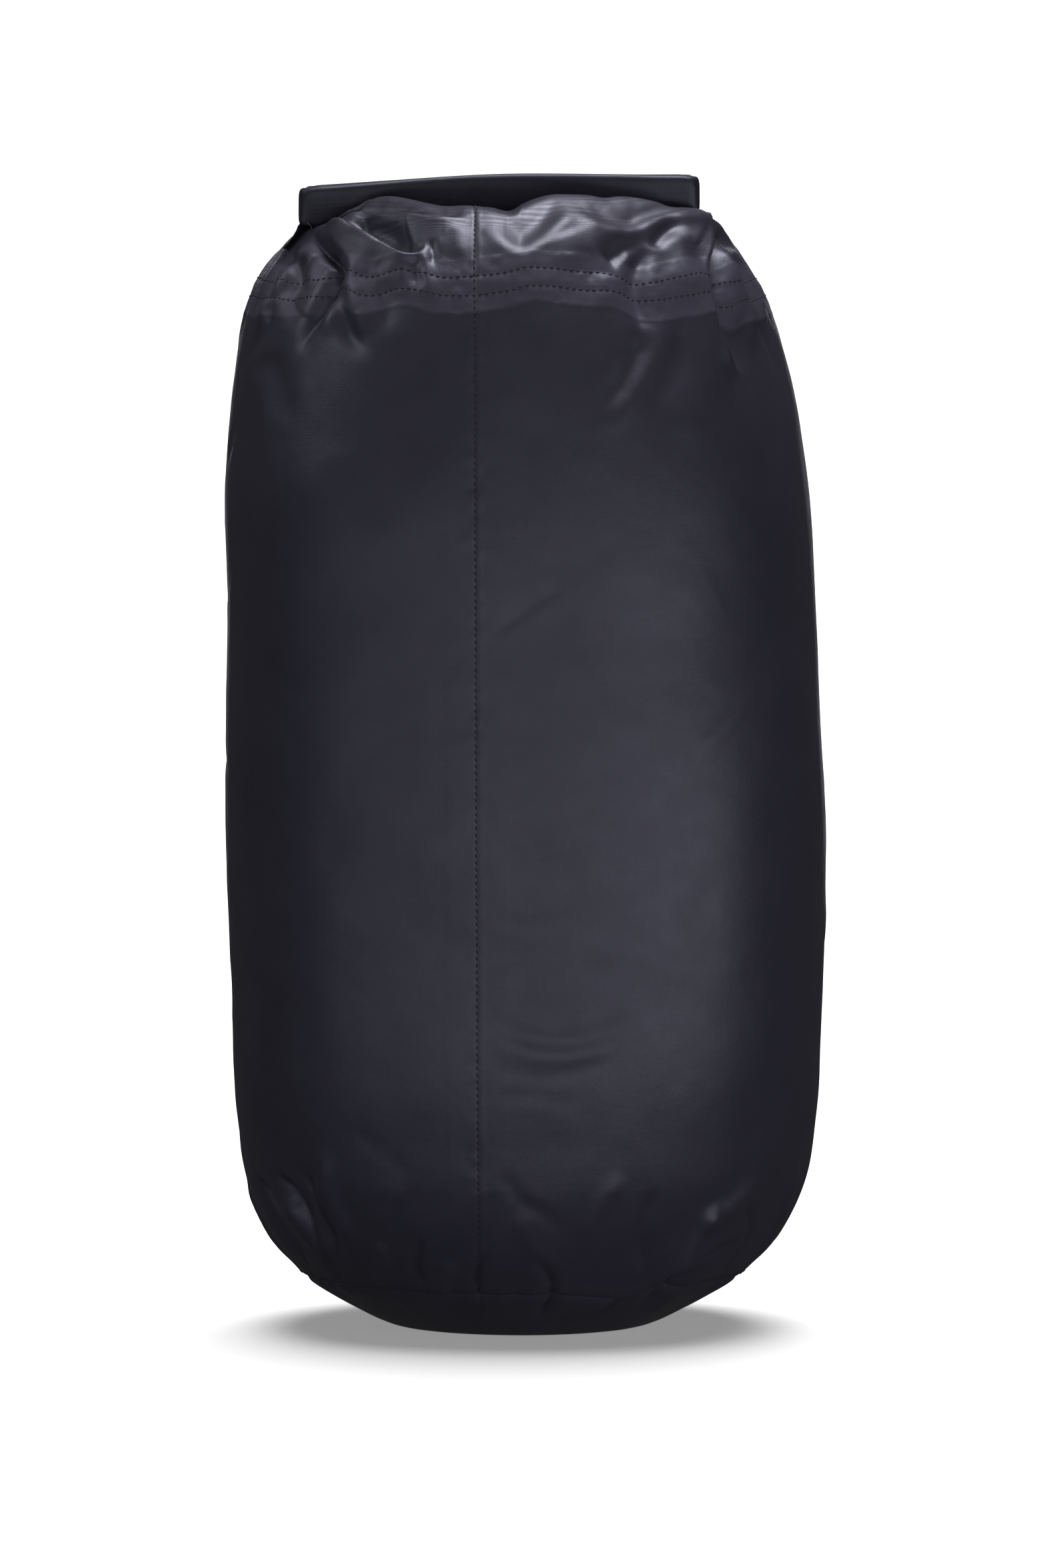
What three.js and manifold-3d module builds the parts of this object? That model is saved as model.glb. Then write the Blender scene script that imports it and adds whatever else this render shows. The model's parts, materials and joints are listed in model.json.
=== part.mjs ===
// Roll-top dry sack, closed and stuffed: a round-bottomed fabric tube, a gathered collar, and a stiff-lipped
// mouth that is rolled down, bent into a loop and clipped to itself with a side-release buckle.
// Millimetres, +Z up. The origin is the middle of the base on the ground; the buckle is on the +Y side.
import * as THREE from 'three';
import { mergeVertices } from 'three/addons/utils/BufferGeometryUtils.js';
import Module from 'manifold-3d';

// ---- driving dimensions -----------------------------------------------------------------------------------
const wall = 1.4; // coated fabric with its seam allowance, as a plain shell
const gap = 0.4; // air between neighbouring pieces
const threadGap = 0.9; // air under the stitching, which the shell's flat facets take part of
const crownLean = -6; // how far the top of the sack leans to -X
const leanFrom = 290; // height where the lean begins
const leanTo = 414; // height where it is complete

const baseFlat = 48; // radius of the patch that lies on the ground
const seamZ = 19; // height of the base seam
const baseLapTop = 27; // top of the base panel's upstand inside the tube
const baseR = 80.4; // outer radius of that upstand
const tubeTopZ = 390; // top edge of the tube
const collarLapZ = 378; // lower edge of the collar, lapped inside the tube
const tapeWidth = 22; // seam tape
const tapeThick = 0.8;
const threadR = 0.5; // sewing thread, drawn as one cord
const seamAzimuth = THREE.MathUtils.degToRad(-99.2); // where the tube's long seam runs

const rollBottom = 415.5; // lower edge of the rolled mouth
const rollHeight = 15.5;
const rollThick = 7;
const rollY = -30; // middle plane of the roll's front span
const loopX = -9.5; // middle of the loop
const frontSpan = 143; // corner to corner
const backSpan = 60; // swivel axis to swivel axis, across the buckle
const buckleY = 66; // middle plane of the buckle
const stripHeight = 10; // stiffening strip inside the roll
const stripThick = 1.5;
const webbing = 15; // width of the buckle's webbing
const webThick = 1.1;

// ---- worked out from those --------------------------------------------------------------------------------
const rollMidZ = rollBottom + rollHeight / 2;
const buckleZ = rollMidZ - 1.75;
const armRun = (frontSpan - backSpan) / 2; // how far an arm runs towards the middle
const armLength = Math.hypot(armRun, buckleY - rollY);
const armLean = Math.atan2(armRun, buckleY - rollY); // arm's angle from +Y
const corner = { left: loopX - frontSpan / 2, right: loopX + frontSpan / 2 };
const v2 = (x, y) => new THREE.Vector2(x, y);
const v3 = (x, y, z) => new THREE.Vector3(x, y, z);
const tubeCurve = new THREE.SplineCurve([
  v2(82, 17), v2(93, 30), v2(105.5, 55), v2(109.2, 85), v2(112.2, 190), v2(108.4, 320), v2(102.5, 364),
  v2(94.4, tubeTopZ),
]);
const tubePoints = tubeCurve.getPoints(160);

// ---- solids and meshes ------------------------------------------------------------------------------------
const wasm = await Module();
wasm.setup();

function solidOf(geometry) {
  const bare = geometry.clone();
  bare.deleteAttribute('normal');
  bare.deleteAttribute('uv');
  const merged = mergeVertices(bare, 1e-4);
  const vertProperties = new Float32Array(merged.attributes.position.array);
  const triVerts = new Uint32Array(merged.index.array);
  return new wasm.Manifold(new wasm.Mesh({ numProp: 3, vertProperties, triVerts }));
}

function geometryOf(solid) {
  const mesh = solid.getMesh();
  const geometry = new THREE.BufferGeometry();
  geometry.setAttribute('position', new THREE.BufferAttribute(new Float32Array(mesh.vertProperties), 3));
  geometry.setIndex(new THREE.BufferAttribute(new Uint32Array(mesh.triVerts), 1));
  geometry.computeVertexNormals();
  return geometry;
}

function joined(...geometries) {
  const solids = geometries.map(solidOf);
  return geometryOf(solids.reduce((whole, next) => whole.add(next)));
}

// a lathe about +Z from a profile of (radius, height) points
function lathe(profile, segments = 40) {
  return new THREE.LatheGeometry(profile, segments).rotateX(Math.PI / 2);
}

function box(low, high) {
  const size = high.clone().sub(low);
  const middle = high.clone().add(low).multiplyScalar(0.5);
  return new THREE.BoxGeometry(size.x, size.y, size.z).translate(middle.x, middle.y, middle.z);
}

function post(radius, low, high, x, y, sides = 16) {
  const cylinder = new THREE.CylinderGeometry(radius, radius, high - low, sides).rotateX(Math.PI / 2);
  return cylinder.translate(x, y, (low + high) / 2);
}

function lean(geometry) {
  const place = geometry.attributes.position;
  for (let i = 0; i < place.count; i += 1) place.setX(i, place.getX(i) + leanAt(place.getZ(i)));
  geometry.computeVertexNormals();
  return geometry;
}

function leanAt(z) {
  return crownLean * THREE.MathUtils.smoothstep(z, leanFrom, leanTo);
}

// ---- the tube's outline -----------------------------------------------------------------------------------
function tubeRadius(z) {
  const next = tubePoints.findIndex((point) => point.y >= z);
  if (next <= 0) return next === 0 ? tubePoints[0].x : tubePoints[tubePoints.length - 1].x;
  const below = tubePoints[next - 1];
  const above = tubePoints[next];
  return THREE.MathUtils.mapLinear(z, below.y, above.y, below.x, above.x);
}

// `rows` + 1 heights, evenly spread
function spread(low, high, rows) {
  return Array.from({ length: rows + 1 }, (_, i) => low + ((high - low) * i) / rows);
}

// a closed band that follows the tube through some heights, `inset` inside its outer face
function tubeBand(heights, inset, thick) {
  const outer = heights.map((z) => v2(tubeRadius(z) - inset, z));
  const inner = heights.map((z) => v2(tubeRadius(z) - inset - thick, z)).reverse();
  return [...outer, ...inner, outer[0]];
}

// ---- materials --------------------------------------------------------------------------------------------
const fabric = new THREE.MeshStandardMaterial({ color: 0x34343c, roughness: 0.5, metalness: 0 });
const tape = new THREE.MeshStandardMaterial({ color: 0x3d3d45, roughness: 0.35, metalness: 0 });
const thread = new THREE.MeshStandardMaterial({ color: 0x202026, roughness: 0.7, metalness: 0 });
const strip = new THREE.MeshStandardMaterial({ color: 0x26262b, roughness: 0.5, metalness: 0 });
const web = new THREE.MeshStandardMaterial({ color: 0x1e1e22, roughness: 0.8, metalness: 0 });
const plastic = new THREE.MeshStandardMaterial({ color: 0x1a1a1d, roughness: 0.4, metalness: 0 });

const sack = new THREE.Group();
function add(name, geometry, material, group = sack) {
  const mesh = new THREE.Mesh(geometry, material);
  mesh.name = name;
  group.add(mesh);
}

// ---- sack: base and tube ----------------------------------------------------------------------------------
function basePanel() {
  const curl = new THREE.SplineCurve([v2(baseFlat, 0), v2(62, 6.5), v2(74, 13.2), v2(baseR, seamZ)]).getPoints(5);
  const outer = [v2(0, 0), ...curl, v2(baseR, baseLapTop)];
  const inner = curl.map((point) => v2(point.x - wall * (point.y / seamZ), point.y + wall)).reverse();
  return lathe([...outer, v2(baseR - wall, baseLapTop), ...inner, v2(0, wall)]);
}

function bodyPanel() {
  const heights = [...spread(seamZ - 1, 54, 3), ...spread(84, 360, 8), ...spread(collarLapZ, tubeTopZ, 2)];
  return lean(lathe(tubeBand(heights, 0, wall)));
}

function baseSeamTape() {
  const outer = baseR - wall - gap;
  const low = seamZ + 3;
  const high = low + tapeWidth / 2;
  const inner = outer - tapeThick;
  return lathe([v2(outer, low), v2(outer, high), v2(inner, high), v2(inner, low), v2(outer, low)]);
}

// the long seam's tape: a strip cut out of a band that lines the tube
function bodySeamTape() {
  const low = baseLapTop + 12;
  const high = collarLapZ - 8;
  const lining = solidOf(lathe(tubeBand(spread(low, high, 10), wall + 4 * gap, tapeThick)));
  const cutter = box(v3(60, -tapeWidth / 2, low - 1), v3(130, tapeWidth / 2, high + 1)).rotateZ(seamAzimuth);
  return lean(geometryOf(lining.intersect(solidOf(cutter))));
}

function threadRing(radius, z) {
  const ring = [0, 1, 2, 3, 4].map((i) => {
    const turn = (i * Math.PI) / 2;
    return v2(radius + threadR * Math.cos(turn), z + threadR * Math.sin(turn));
  });
  return lean(lathe(ring));
}

function threadAlong(points, steps) {
  const section = new THREE.Shape().absarc(0, 0, threadR, 0, Math.PI * 2, false);
  const path = new THREE.CatmullRomCurve3(points);
  return new THREE.ExtrudeGeometry(section, { extrudePath: path, steps, curveSegments: 4 });
}

function onSeam(radius, z) {
  return v3(radius * Math.cos(seamAzimuth) + leanAt(z), radius * Math.sin(seamAzimuth), z);
}

function bodySeamThread() {
  const low = seamZ + 8;
  const high = tubeTopZ - 10;
  const heights = spread(low, high, 14);
  return threadAlong(heights.map((z) => onSeam(tubeRadius(z) + threadGap + threadR, z)), 26);
}

add('base_panel', basePanel(), fabric);
add('body_panel', bodyPanel(), fabric);
add('base_seam_tape', baseSeamTape(), tape);
add('body_seam_tape', bodySeamTape(), tape);
add('body_seam_thread', bodySeamThread(), thread);
add('base_seam_thread', threadRing(tubeRadius(seamZ + 3) + threadGap + threadR, seamZ + 3), thread);

// ---- crown: the collar ------------------------------------------------------------------------------------
const collarR = tubeRadius(tubeTopZ) - wall - gap; // outer radius where the collar leaves the tube
const domeTop = 413; // height of the gathered fabric under the roll
const bulgeRise = 7; // how far the front gathers stand above that
const valleyDrop = 8; // how far the fabric sinks inside the loop
const shoulder = [v2(90, 395), v2(86, 400.5), v2(80, 406.5), v2(72, 411), v2(62, domeTop)];

// height added to the dome: the gathers in front of the roll, and the hollow inside the loop
function relief(x, y) {
  const across = 1 - THREE.MathUtils.smoothstep(Math.abs(x - loopX), 46, 78);
  const along = THREE.MathUtils.smoothstep(-y, 26, 36) * (1 - THREE.MathUtils.smoothstep(-y, 52, 84));
  const rim = 1 - THREE.MathUtils.smoothstep(Math.hypot(x - crownLean, y), 70, 88);
  const hollow = valleyDrop * THREE.MathUtils.smoothstep(y, -24, 20) * rim;
  return bulgeRise * across * along - hollow;
}

function dome(inset, bottom) {
  const skirt = spread(collarLapZ, tubeTopZ, 2).map((z) => v2(tubeRadius(z) - wall - gap - inset, z));
  if (bottom < collarLapZ) skirt.unshift(v2(skirt[0].x, bottom));
  const top = shoulder.map((point) => v2(point.x - inset, point.y - inset));
  const inward = [54, 47, 40, 32, 20, 0].map((radius) => v2(radius, domeTop - inset));
  const geometry = lathe([v2(0, bottom), ...skirt, ...top, ...inward]);
  const place = geometry.attributes.position;
  for (let i = 0; i < place.count; i += 1) {
    if (place.getZ(i) > tubeTopZ + 4) place.setZ(i, place.getZ(i) + relief(place.getX(i), place.getY(i)));
  }
  return solidOf(lean(geometry));
}

// the room that the closed loop takes up, with `gap` of air all round it
function loopRoom() {
  const half = rollThick / 2 + gap;
  const top = rollBottom + rollHeight;
  const front = box(v3(corner.left, rollY - half, rollBottom - gap), v3(corner.right, rollY + half, top));
  const rooms = [front];
  for (const side of ['left', 'right']) {
    const turn = side === 'left' ? -armLean : armLean;
    rooms.push(post(half, rollBottom - gap, top, corner[side], rollY));
    const arm = box(v3(-half, 0, rollBottom - gap), v3(half, armLength, top)).rotateZ(turn);
    rooms.push(arm.translate(corner[side], rollY, 0));
  }
  return rooms.map(solidOf).reduce((whole, next) => whole.add(next));
}

function collarPanel() {
  const shell = dome(0, collarLapZ).subtract(dome(wall, collarLapZ - 4));
  return geometryOf(shell.subtract(loopRoom()));
}

function collarSeamTape() {
  const inset = 2 * (wall + gap);
  const low = collarLapZ + 2;
  const outer = spread(low, tubeTopZ, 2).map((z) => v2(tubeRadius(z) - inset, z));
  const outside = [...outer, v2(shoulder[0].x - wall - 2.6, 393)];
  const inside = outside.map((point) => v2(point.x - tapeThick, point.y)).reverse();
  return lean(lathe([...outside, ...inside, outside[0]]));
}

// the long seam's stitches carry on over the collar, up to the roll
function collarSeamThread() {
  const radii = [90, 86, 80, 72, 62, 50];
  const points = radii.map((radius) => {
    const flat = onSeam(radius, tubeTopZ);
    const profile = [...shoulder].reverse();
    const next = Math.max(1, profile.findIndex((point) => point.x >= radius));
    const [inner, outer] = [profile[next - 1], profile[next]];
    const z = radius <= inner.x ? domeTop : THREE.MathUtils.mapLinear(radius, inner.x, outer.x, inner.y, outer.y);
    const lift = gap + threadR + 1.2;
    return v3(flat.x, flat.y, z + relief(flat.x, flat.y) + lift);
  });
  return threadAlong(points, 14);
}

add('collar_panel', collarPanel(), fabric);
add('collar_seam_tape', collarSeamTape(), tape);
add('collar_thread_lower', threadRing(tubeRadius(385) + threadGap + threadR, 385), thread);
add('collar_thread_upper', threadRing(collarR + 1.1, 392.4), thread);
add('collar_seam_thread', collarSeamThread(), thread);

// ---- the roll: a front span on the crown and an arm at each side --------------------------------------------
// a rolled sleeve with its strip's channel open at both ends, lying along +Y from `from` to `to`
function sleeve(from, to) {
  const [w, h, r] = [rollThick / 2, rollHeight / 2, 2.8];
  const outline = new THREE.Shape();
  outline.moveTo(-w, -h + r).absarc(-w + r, h - r, r, Math.PI, Math.PI / 2, true);
  outline.absarc(w - r, h - r, r, Math.PI / 2, 0, true);
  outline.absarc(w - r, -h + r, r, 0, -Math.PI / 2, true);
  outline.absarc(-w + r, -h + r, r, -Math.PI / 2, -Math.PI, true);
  const [cw, ch] = [stripThick / 2 + gap, stripHeight / 2 + gap];
  const channel = new THREE.Path([v2(-cw, -ch), v2(cw, -ch), v2(cw, ch), v2(-cw, ch)]);
  outline.holes.push(channel);
  const body = new THREE.ExtrudeGeometry(outline, { depth: to - from, bevelEnabled: false, curveSegments: 4 });
  return body.rotateX(Math.PI / 2).translate(0, to, rollMidZ);
}

function stiffener(from, to) {
  const half = stripHeight / 2;
  return box(v3(-stripThick / 2, from, rollMidZ - half), v3(stripThick / 2, to, rollMidZ + half));
}

const frontInset = 7; // how far the front span stops short of a corner
const frontLength = frontSpan - 2 * frontInset;
const toFront = (geometry) => geometry.rotateZ(-Math.PI / 2).translate(corner.left + frontInset, rollY, 0);
add('roll_front', toFront(sleeve(0, frontLength)), fabric);
add('stiffener_front', toFront(stiffener(1, frontLength - 1)), strip);

const armEnd = armLength - 5; // the sleeve stops short of the swivel
for (const side of ['left', 'right']) {
  const turn = side === 'left' ? -armLean : armLean;
  const arm = new THREE.Group();
  arm.position.set(corner[side], rollY, 0);
  arm.rotation.z = turn;
  sack.add(arm);
  const knuckle = post(rollThick / 2, rollBottom + 1, rollBottom + rollHeight - 1, 0, 0);
  const outward = side === 'left' ? -1 : 1;
  const stitchX = outward * (rollThick / 2 + gap + threadR);
  const stitches = box(v3(stitchX - threadR, armEnd - 13, rollMidZ - 5), v3(stitchX + threadR, armEnd - 3, rollMidZ + 5));
  add(`roll_${side}`, joined(knuckle, sleeve(3, armEnd)), fabric, arm);
  add(`stiffener_${side}`, stiffener(5, armEnd - 1), strip, arm);
  add(`tab_stitching_${side}`, stitches, thread, arm);
}

// ---- the side-release buckle ------------------------------------------------------------------------------
// Drawn about its own middle in the proportions of a 20 mm buckle, then scaled: +X runs from the female half
// to the male half, and Z is across the webbing.
const buckleScale = 0.78;
const halfWide = 13.5;
const halfThick = 4.5;
const cavityWide = 11.2; // half sizes of the female half's pocket
const cavityThick = 2.9;
const mouthX = 4.5; // the female half's mouth
const pocketX = -19; // bottom of its pocket
const blockX = 21; // where each half's block ends and its webbing slot begins
const barX = 25; // the bar that the webbing passes round
const barR = 1.5;
const railWide = 10.6; // rails stand outside the webbing
const prongRoot = v2(2.6, 7.5); // where a prong bends
const windowFrom = -15.5;
const windowTo = -6.4;

// rails and bar that hold the webbing, at the -X end when side is -1
function webbingEnd(side) {
  const railThick = 3;
  const pieces = [post(barR, -railWide - 1, railWide + 1, side * barX, 0)];
  for (const up of [-1, 1]) {
    const low = v3(side > 0 ? blockX - 1 : -barX - barR, -railThick, up > 0 ? railWide : -halfWide);
    const high = v3(side > 0 ? barX + barR : -blockX + 1, railThick, up > 0 ? halfWide : -railWide);
    pieces.push(box(low, high));
  }
  return pieces;
}

function femaleBody() {
  const block = box(v3(-blockX, -halfThick, -halfWide), v3(mouthX, halfThick, halfWide));
  const pocket = box(v3(pocketX, -cavityThick, -cavityWide), v3(mouthX + 1, cavityThick, cavityWide));
  const window = box(v3(windowFrom, -cavityThick, -20), v3(windowTo, cavityThick, 20));
  const whole = solidOf(joined(block, ...webbingEnd(-1)));
  return geometryOf(whole.subtract(solidOf(pocket)).subtract(solidOf(window)));
}

function maleBase() {
  const block = box(v3(5, -halfThick, -halfWide), v3(blockX, halfThick, halfWide));
  const guide = box(v3(-10, -1.5, -2.2), v3(6, 1.5, 2.2));
  return joined(block, guide, ...webbingEnd(1));
}

// a prong: a springy arm, a barb that catches the window's edge, and a pad to squeeze
function prong(up) {
  const outline = new THREE.Shape();
  outline.absarc(prongRoot.x, prongRoot.y, 2, -Math.PI / 2, Math.PI / 2, false);
  outline.lineTo(-7, 9.8);
  outline.lineTo(-7, 12.7);
  outline.quadraticCurveTo(-10, 14.2, -14.6, 12);
  outline.lineTo(-18, 8.4);
  outline.lineTo(-18, 6.4);
  outline.lineTo(-7, 6.2);
  outline.closePath();
  const thick = 2.5;
  const body = new THREE.ExtrudeGeometry(outline, { depth: 2 * thick, bevelEnabled: false, curveSegments: 8 });
  body.translate(0, 0, -thick).rotateX(Math.PI / 2);
  return up ? body : body.rotateX(Math.PI);
}

// a webbing loop from the swivel round the buckle's bar
function webbingTab(side) {
  const swivel = (side * backSpan) / 2 / buckleScale;
  const bar = side * barX;
  const inner = barR + 0.4;
  const thick = webThick / buckleScale;
  const half = webbing / 2 / buckleScale;
  const plate = box(v3(Math.min(swivel, bar), -thick, -half), v3(Math.max(swivel, bar), thick, half));
  const loop = solidOf(joined(plate, post(inner + thick, -half, half, bar, 0)));
  return geometryOf(loop.subtract(solidOf(post(inner, -2 * half, 2 * half, bar, 0))));
}

const buckle = new THREE.Group();
buckle.position.set(loopX, buckleY, buckleZ);
buckle.scale.setScalar(buckleScale);
sack.add(buckle);
add('buckle_female_body', femaleBody(), plastic, buckle);
add('left_webbing_tab', webbingTab(-1), web, buckle);
add('buckle_male_base', maleBase(), plastic, buckle);
add('right_webbing_tab', webbingTab(1), web, buckle);
add('buckle_prong_upper', prong(true), plastic, buckle);
add('buckle_prong_lower', prong(false), plastic, buckle);

export default sack;
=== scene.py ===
# Roll-top dry sack, stuffed and closed: coated nylon panels, taped seams, a rolled mouth bent into a loop
# and clipped to itself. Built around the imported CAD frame. Numbers are millimetres; meshes are in metres.
import json
import math

import bmesh
import bpy
import numpy as np
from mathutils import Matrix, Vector

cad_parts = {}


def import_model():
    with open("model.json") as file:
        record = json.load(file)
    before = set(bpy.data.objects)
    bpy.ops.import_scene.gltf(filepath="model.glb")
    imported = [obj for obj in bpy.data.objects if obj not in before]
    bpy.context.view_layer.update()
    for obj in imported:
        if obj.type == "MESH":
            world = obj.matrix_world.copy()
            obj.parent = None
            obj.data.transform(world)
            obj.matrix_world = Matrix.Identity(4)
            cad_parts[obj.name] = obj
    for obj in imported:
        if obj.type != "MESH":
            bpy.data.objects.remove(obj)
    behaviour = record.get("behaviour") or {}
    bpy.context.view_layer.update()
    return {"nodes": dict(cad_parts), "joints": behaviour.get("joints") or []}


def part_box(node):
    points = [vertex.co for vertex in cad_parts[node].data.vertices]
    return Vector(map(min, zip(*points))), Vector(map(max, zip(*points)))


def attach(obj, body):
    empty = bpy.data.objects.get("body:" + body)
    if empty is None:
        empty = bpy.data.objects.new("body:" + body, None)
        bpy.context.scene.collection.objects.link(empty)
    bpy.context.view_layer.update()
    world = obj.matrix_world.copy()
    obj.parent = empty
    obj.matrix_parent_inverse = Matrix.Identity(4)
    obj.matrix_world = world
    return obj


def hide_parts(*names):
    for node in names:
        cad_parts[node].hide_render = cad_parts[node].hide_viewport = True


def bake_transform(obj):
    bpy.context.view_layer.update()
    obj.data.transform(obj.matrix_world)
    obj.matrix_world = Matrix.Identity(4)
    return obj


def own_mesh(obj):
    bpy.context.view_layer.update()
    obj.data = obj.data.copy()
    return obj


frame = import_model()

MM = 0.001


# ---- sizes taken from the frame ----
def box_of(node):
    low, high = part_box(node)
    return np.array(low) / MM, np.array(high) / MM


joints = {joint["name"]: joint for joint in frame["joints"]}


def pivot(joint):
    return np.array(joints[joint]["pos_m"]) / MM


left_corner = pivot("left_arm_swing")
right_corner = pivot("right_arm_swing")
left_swivel = pivot("female_swivel")
right_swivel = pivot("male_swivel")
roll_low, roll_high = box_of("roll_front")
roll_bottom = roll_low[2]
roll_height = roll_high[2] - roll_low[2]
roll_thick = roll_high[1] - roll_low[1]
roll_y = left_corner[1]
roll_mid = roll_bottom + roll_height / 2
loop_x = (left_corner[0] + right_corner[0]) / 2


def arm_of(side):
    """An arm's corner and swivel: the left arm's for a side below 0, else the right arm's."""
    return (left_corner, left_swivel) if side < 0 else (right_corner, right_swivel)


# ---- driving sizes of the fabric ----
seam_z = 19.0  # base seam
lap_z = 389.0  # where the tube's top edge laps the collar
tape_half = 11.0  # half the width of the seam tape
row_low = 386.3  # collar's lower row of stitches
row_high = 392.7  # and its upper row
stitch_pitch = 2.5
stitch_radius = 0.26
fabric_thick = 0.35
webbing_thick = 0.9
ring_r = 94.3  # radius where the collar begins


# ---- small maths ----
def smooth(low, high, value):
    t = np.clip((value - low) / (high - low), 0, 1)
    return t * t * (3 - 2 * t)


def mix(a, b, share):
    return a + (b - a) * share


def curve(points):
    """A smooth function through (input, output) points, with straight ends."""
    xs, ys = np.array(sorted(points), float).T
    slopes = np.gradient(ys, xs)

    def at(x):
        x = np.asarray(x, float)
        i = np.clip(np.searchsorted(xs, x) - 1, 0, len(xs) - 2)
        width = xs[i + 1] - xs[i]
        t = np.clip((x - xs[i]) / width, 0, 1)
        a = (1 + 2 * t) * (1 - t) ** 2 * ys[i] + t * (1 - t) ** 2 * width * slopes[i]
        b = t * t * (3 - 2 * t) * ys[i + 1] + t * t * (t - 1) * width * slopes[i + 1]
        below = np.minimum(x - xs[0], 0) * slopes[0]
        above = np.maximum(x - xs[-1], 0) * slopes[-1]
        return a + b + below + above

    return at


def soft_min(a, b, reach):
    h = np.clip(0.5 + 0.5 * (b - a) / reach, 0, 1)
    return mix(b, a, h) - reach * h * (1 - h)


def soft_max(a, b, reach):
    return -soft_min(-a, -b, reach)


def lattice(u, v, cell, seed, wrap=None):
    """Smooth noise from -1 to 1 over (u, v); with wrap it repeats every wrap in u."""
    count = max(2, int(round((wrap or 4096) / cell)))
    step = (wrap or 4096) / count
    table = np.random.default_rng(seed).uniform(-1, 1, (count, 512))
    gu, gv = u / step, v / cell + 100.37
    iu, iv = np.floor(gu).astype(int), np.floor(gv).astype(int)
    fu, fv = gu - iu, gv - iv
    fu, fv = fu * fu * (3 - 2 * fu), fv * fv * (3 - 2 * fv)

    def corner(du, dv):
        return table[(iu + du) % count, (iv + dv) % 512]

    near = mix(corner(0, 0), corner(1, 0), fu)
    far = mix(corner(0, 1), corner(1, 1), fu)
    return mix(near, far, fv)


# ---- the stuffed tube ----
tube_r = curve([
    (17.3, 80.2), (29.8, 93), (42.3, 100.8), (56, 105.8), (80, 109.1), (130, 110.7), (185, 112.1),
    (255, 110.9), (330, 107.7), (355, 104.2), (380, 98.3), (392, 93.4),
])
base_z = curve([(0, 0), (40, 0), (48, 0.6), (62.4, 7), (72, 12.2), (80.2, 17.3), (84, 20.2)])
girth = 2 * math.pi * tube_r(185.0)
lean = curve([(0, -1.5), (20, -1), (60, 0), (190, 0), (255, -1.4), (305, -2.7), (342, -4),
    (380, -6.2), (392, -6.4)])


def middle_x(z):
    return np.where(z > 396, lean(392.0), lean(np.minimum(z, 392.0)))


def seam_x(z):
    return -16.9 - 1.7 * z / 418


seam_home = math.radians(-99.2)


def seam_azimuth(z, r):
    return -math.pi / 2 - np.arcsin(np.clip((middle_x(z) - seam_x(z)) / r, -0.9, 0.9))


def column_azimuths(count=460):
    """Columns round the sack, closest beside the long seam and closer in front than behind."""
    a = np.linspace(-math.pi, math.pi, 6001) + seam_home
    off = a - seam_home
    density = 1 + 0.5 * np.cos(off) + 3.2 * np.exp(-(off / 0.05) ** 2)
    total = np.concatenate([[0], np.cumsum((density[1:] + density[:-1]) / 2)])
    return np.interp(np.arange(count) / count * total[-1], total, a)


columns = column_azimuths()


def azimuth_at(z, r):
    """Every column's azimuth at height z and radius r: the seam's own column follows the seam."""
    pull = np.exp(-((columns - seam_home) / 0.7) ** 2)
    return columns[None, :] + (seam_azimuth(z, r) - seam_home) * pull[None, :]


def ring(z, r):
    """Points round the sack at each height z and radius r, both columns. Its front is a little flat."""
    a = azimuth_at(z, r)
    flat = 0.34 * smooth(30, 120, z) * smooth(392, 300, z) * smooth(0.3, -0.3, np.sin(a))
    power = 2 + flat
    c, s = np.abs(np.cos(a)), np.abs(np.sin(a))
    stretch = (c**power + s**power) ** (-1 / power)
    return np.stack([middle_x(z) + r * stretch * np.cos(a), r * stretch * np.sin(a), z + 0 * a], axis=-1)


# ---- the collar: a gathered dome with a crest in front of the roll and a hollow inside the loop ----
front_slope = curve([(56, 429), (67, 422), (76, 415), (82, 408.6), (87.3, 402), (91.4, 395.4),
    (94.3, 390)])
right_slope = curve([(76, 427), (79, 420), (82, 412.5), (85, 406), (88, 400.5), (91, 395.3), (94.3, 390)])
left_slope = curve([(72, 421), (79, 413), (83, 407), (86, 402.4), (88.5, 399), (91.5, 394.8),
    (94.3, 390)])
back_slope = curve([(58, 424), (70, 415.5), (77, 409.4), (84, 402.7), (90, 396), (94.3, 390)])
crest = curve([
    (-92, 402), (-84, 407.5), (-73, 415), (-66, 419.6), (-59, 423), (-53, 424.2), (-45, 423),
    (-30, 419.6), (-20, 419),
    (-13, 418), (-5.5, 416.8), (0, 420.4), (6.5, 423.2), (19, 423.2), (30, 422), (34, 422.4), (49, 420.6),
    (56, 418), (65, 414.8), (74, 410.4), (84, 402),
])
crest_y = curve([(-84, -36), (-66, -40), (-53, -45), (-30, -53), (0, -58), (20, -57), (40, -50),
    (56, -42), (70, -36)])


row_sway = curve([
    (-95, -1.6), (-85, -1), (-77, -1), (-67, 2.2), (-58, -0.7), (-45, 1.9), (-38, 1), (-31, -0.2),
    (-20, -0.4),
    (-10, 0.4), (2, 2.5), (19, 1.6), (34, 0.1), (43.5, -2.2), (55, -1.5), (65, -1.3), (70, -4.8),
    (76, -3), (85, -1.9),
])


def droop(x):
    """How far the roll hangs below level at its left end."""
    return -5.4 * smooth(6, -104, x) ** 1.35


def beside_arm(x, y, side):
    """Distance from an arm's middle line."""
    start, end = arm_of(side)
    along = (end - start)[:2]
    length = np.hypot(*along)
    along = along / length
    dx, dy = x - start[0], y - start[1]
    share = np.clip((dx * along[0] + dy * along[1]) / length, 0, 1)
    return np.hypot(dx - share * along[0] * length, dy - share * along[1] * length)


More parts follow.
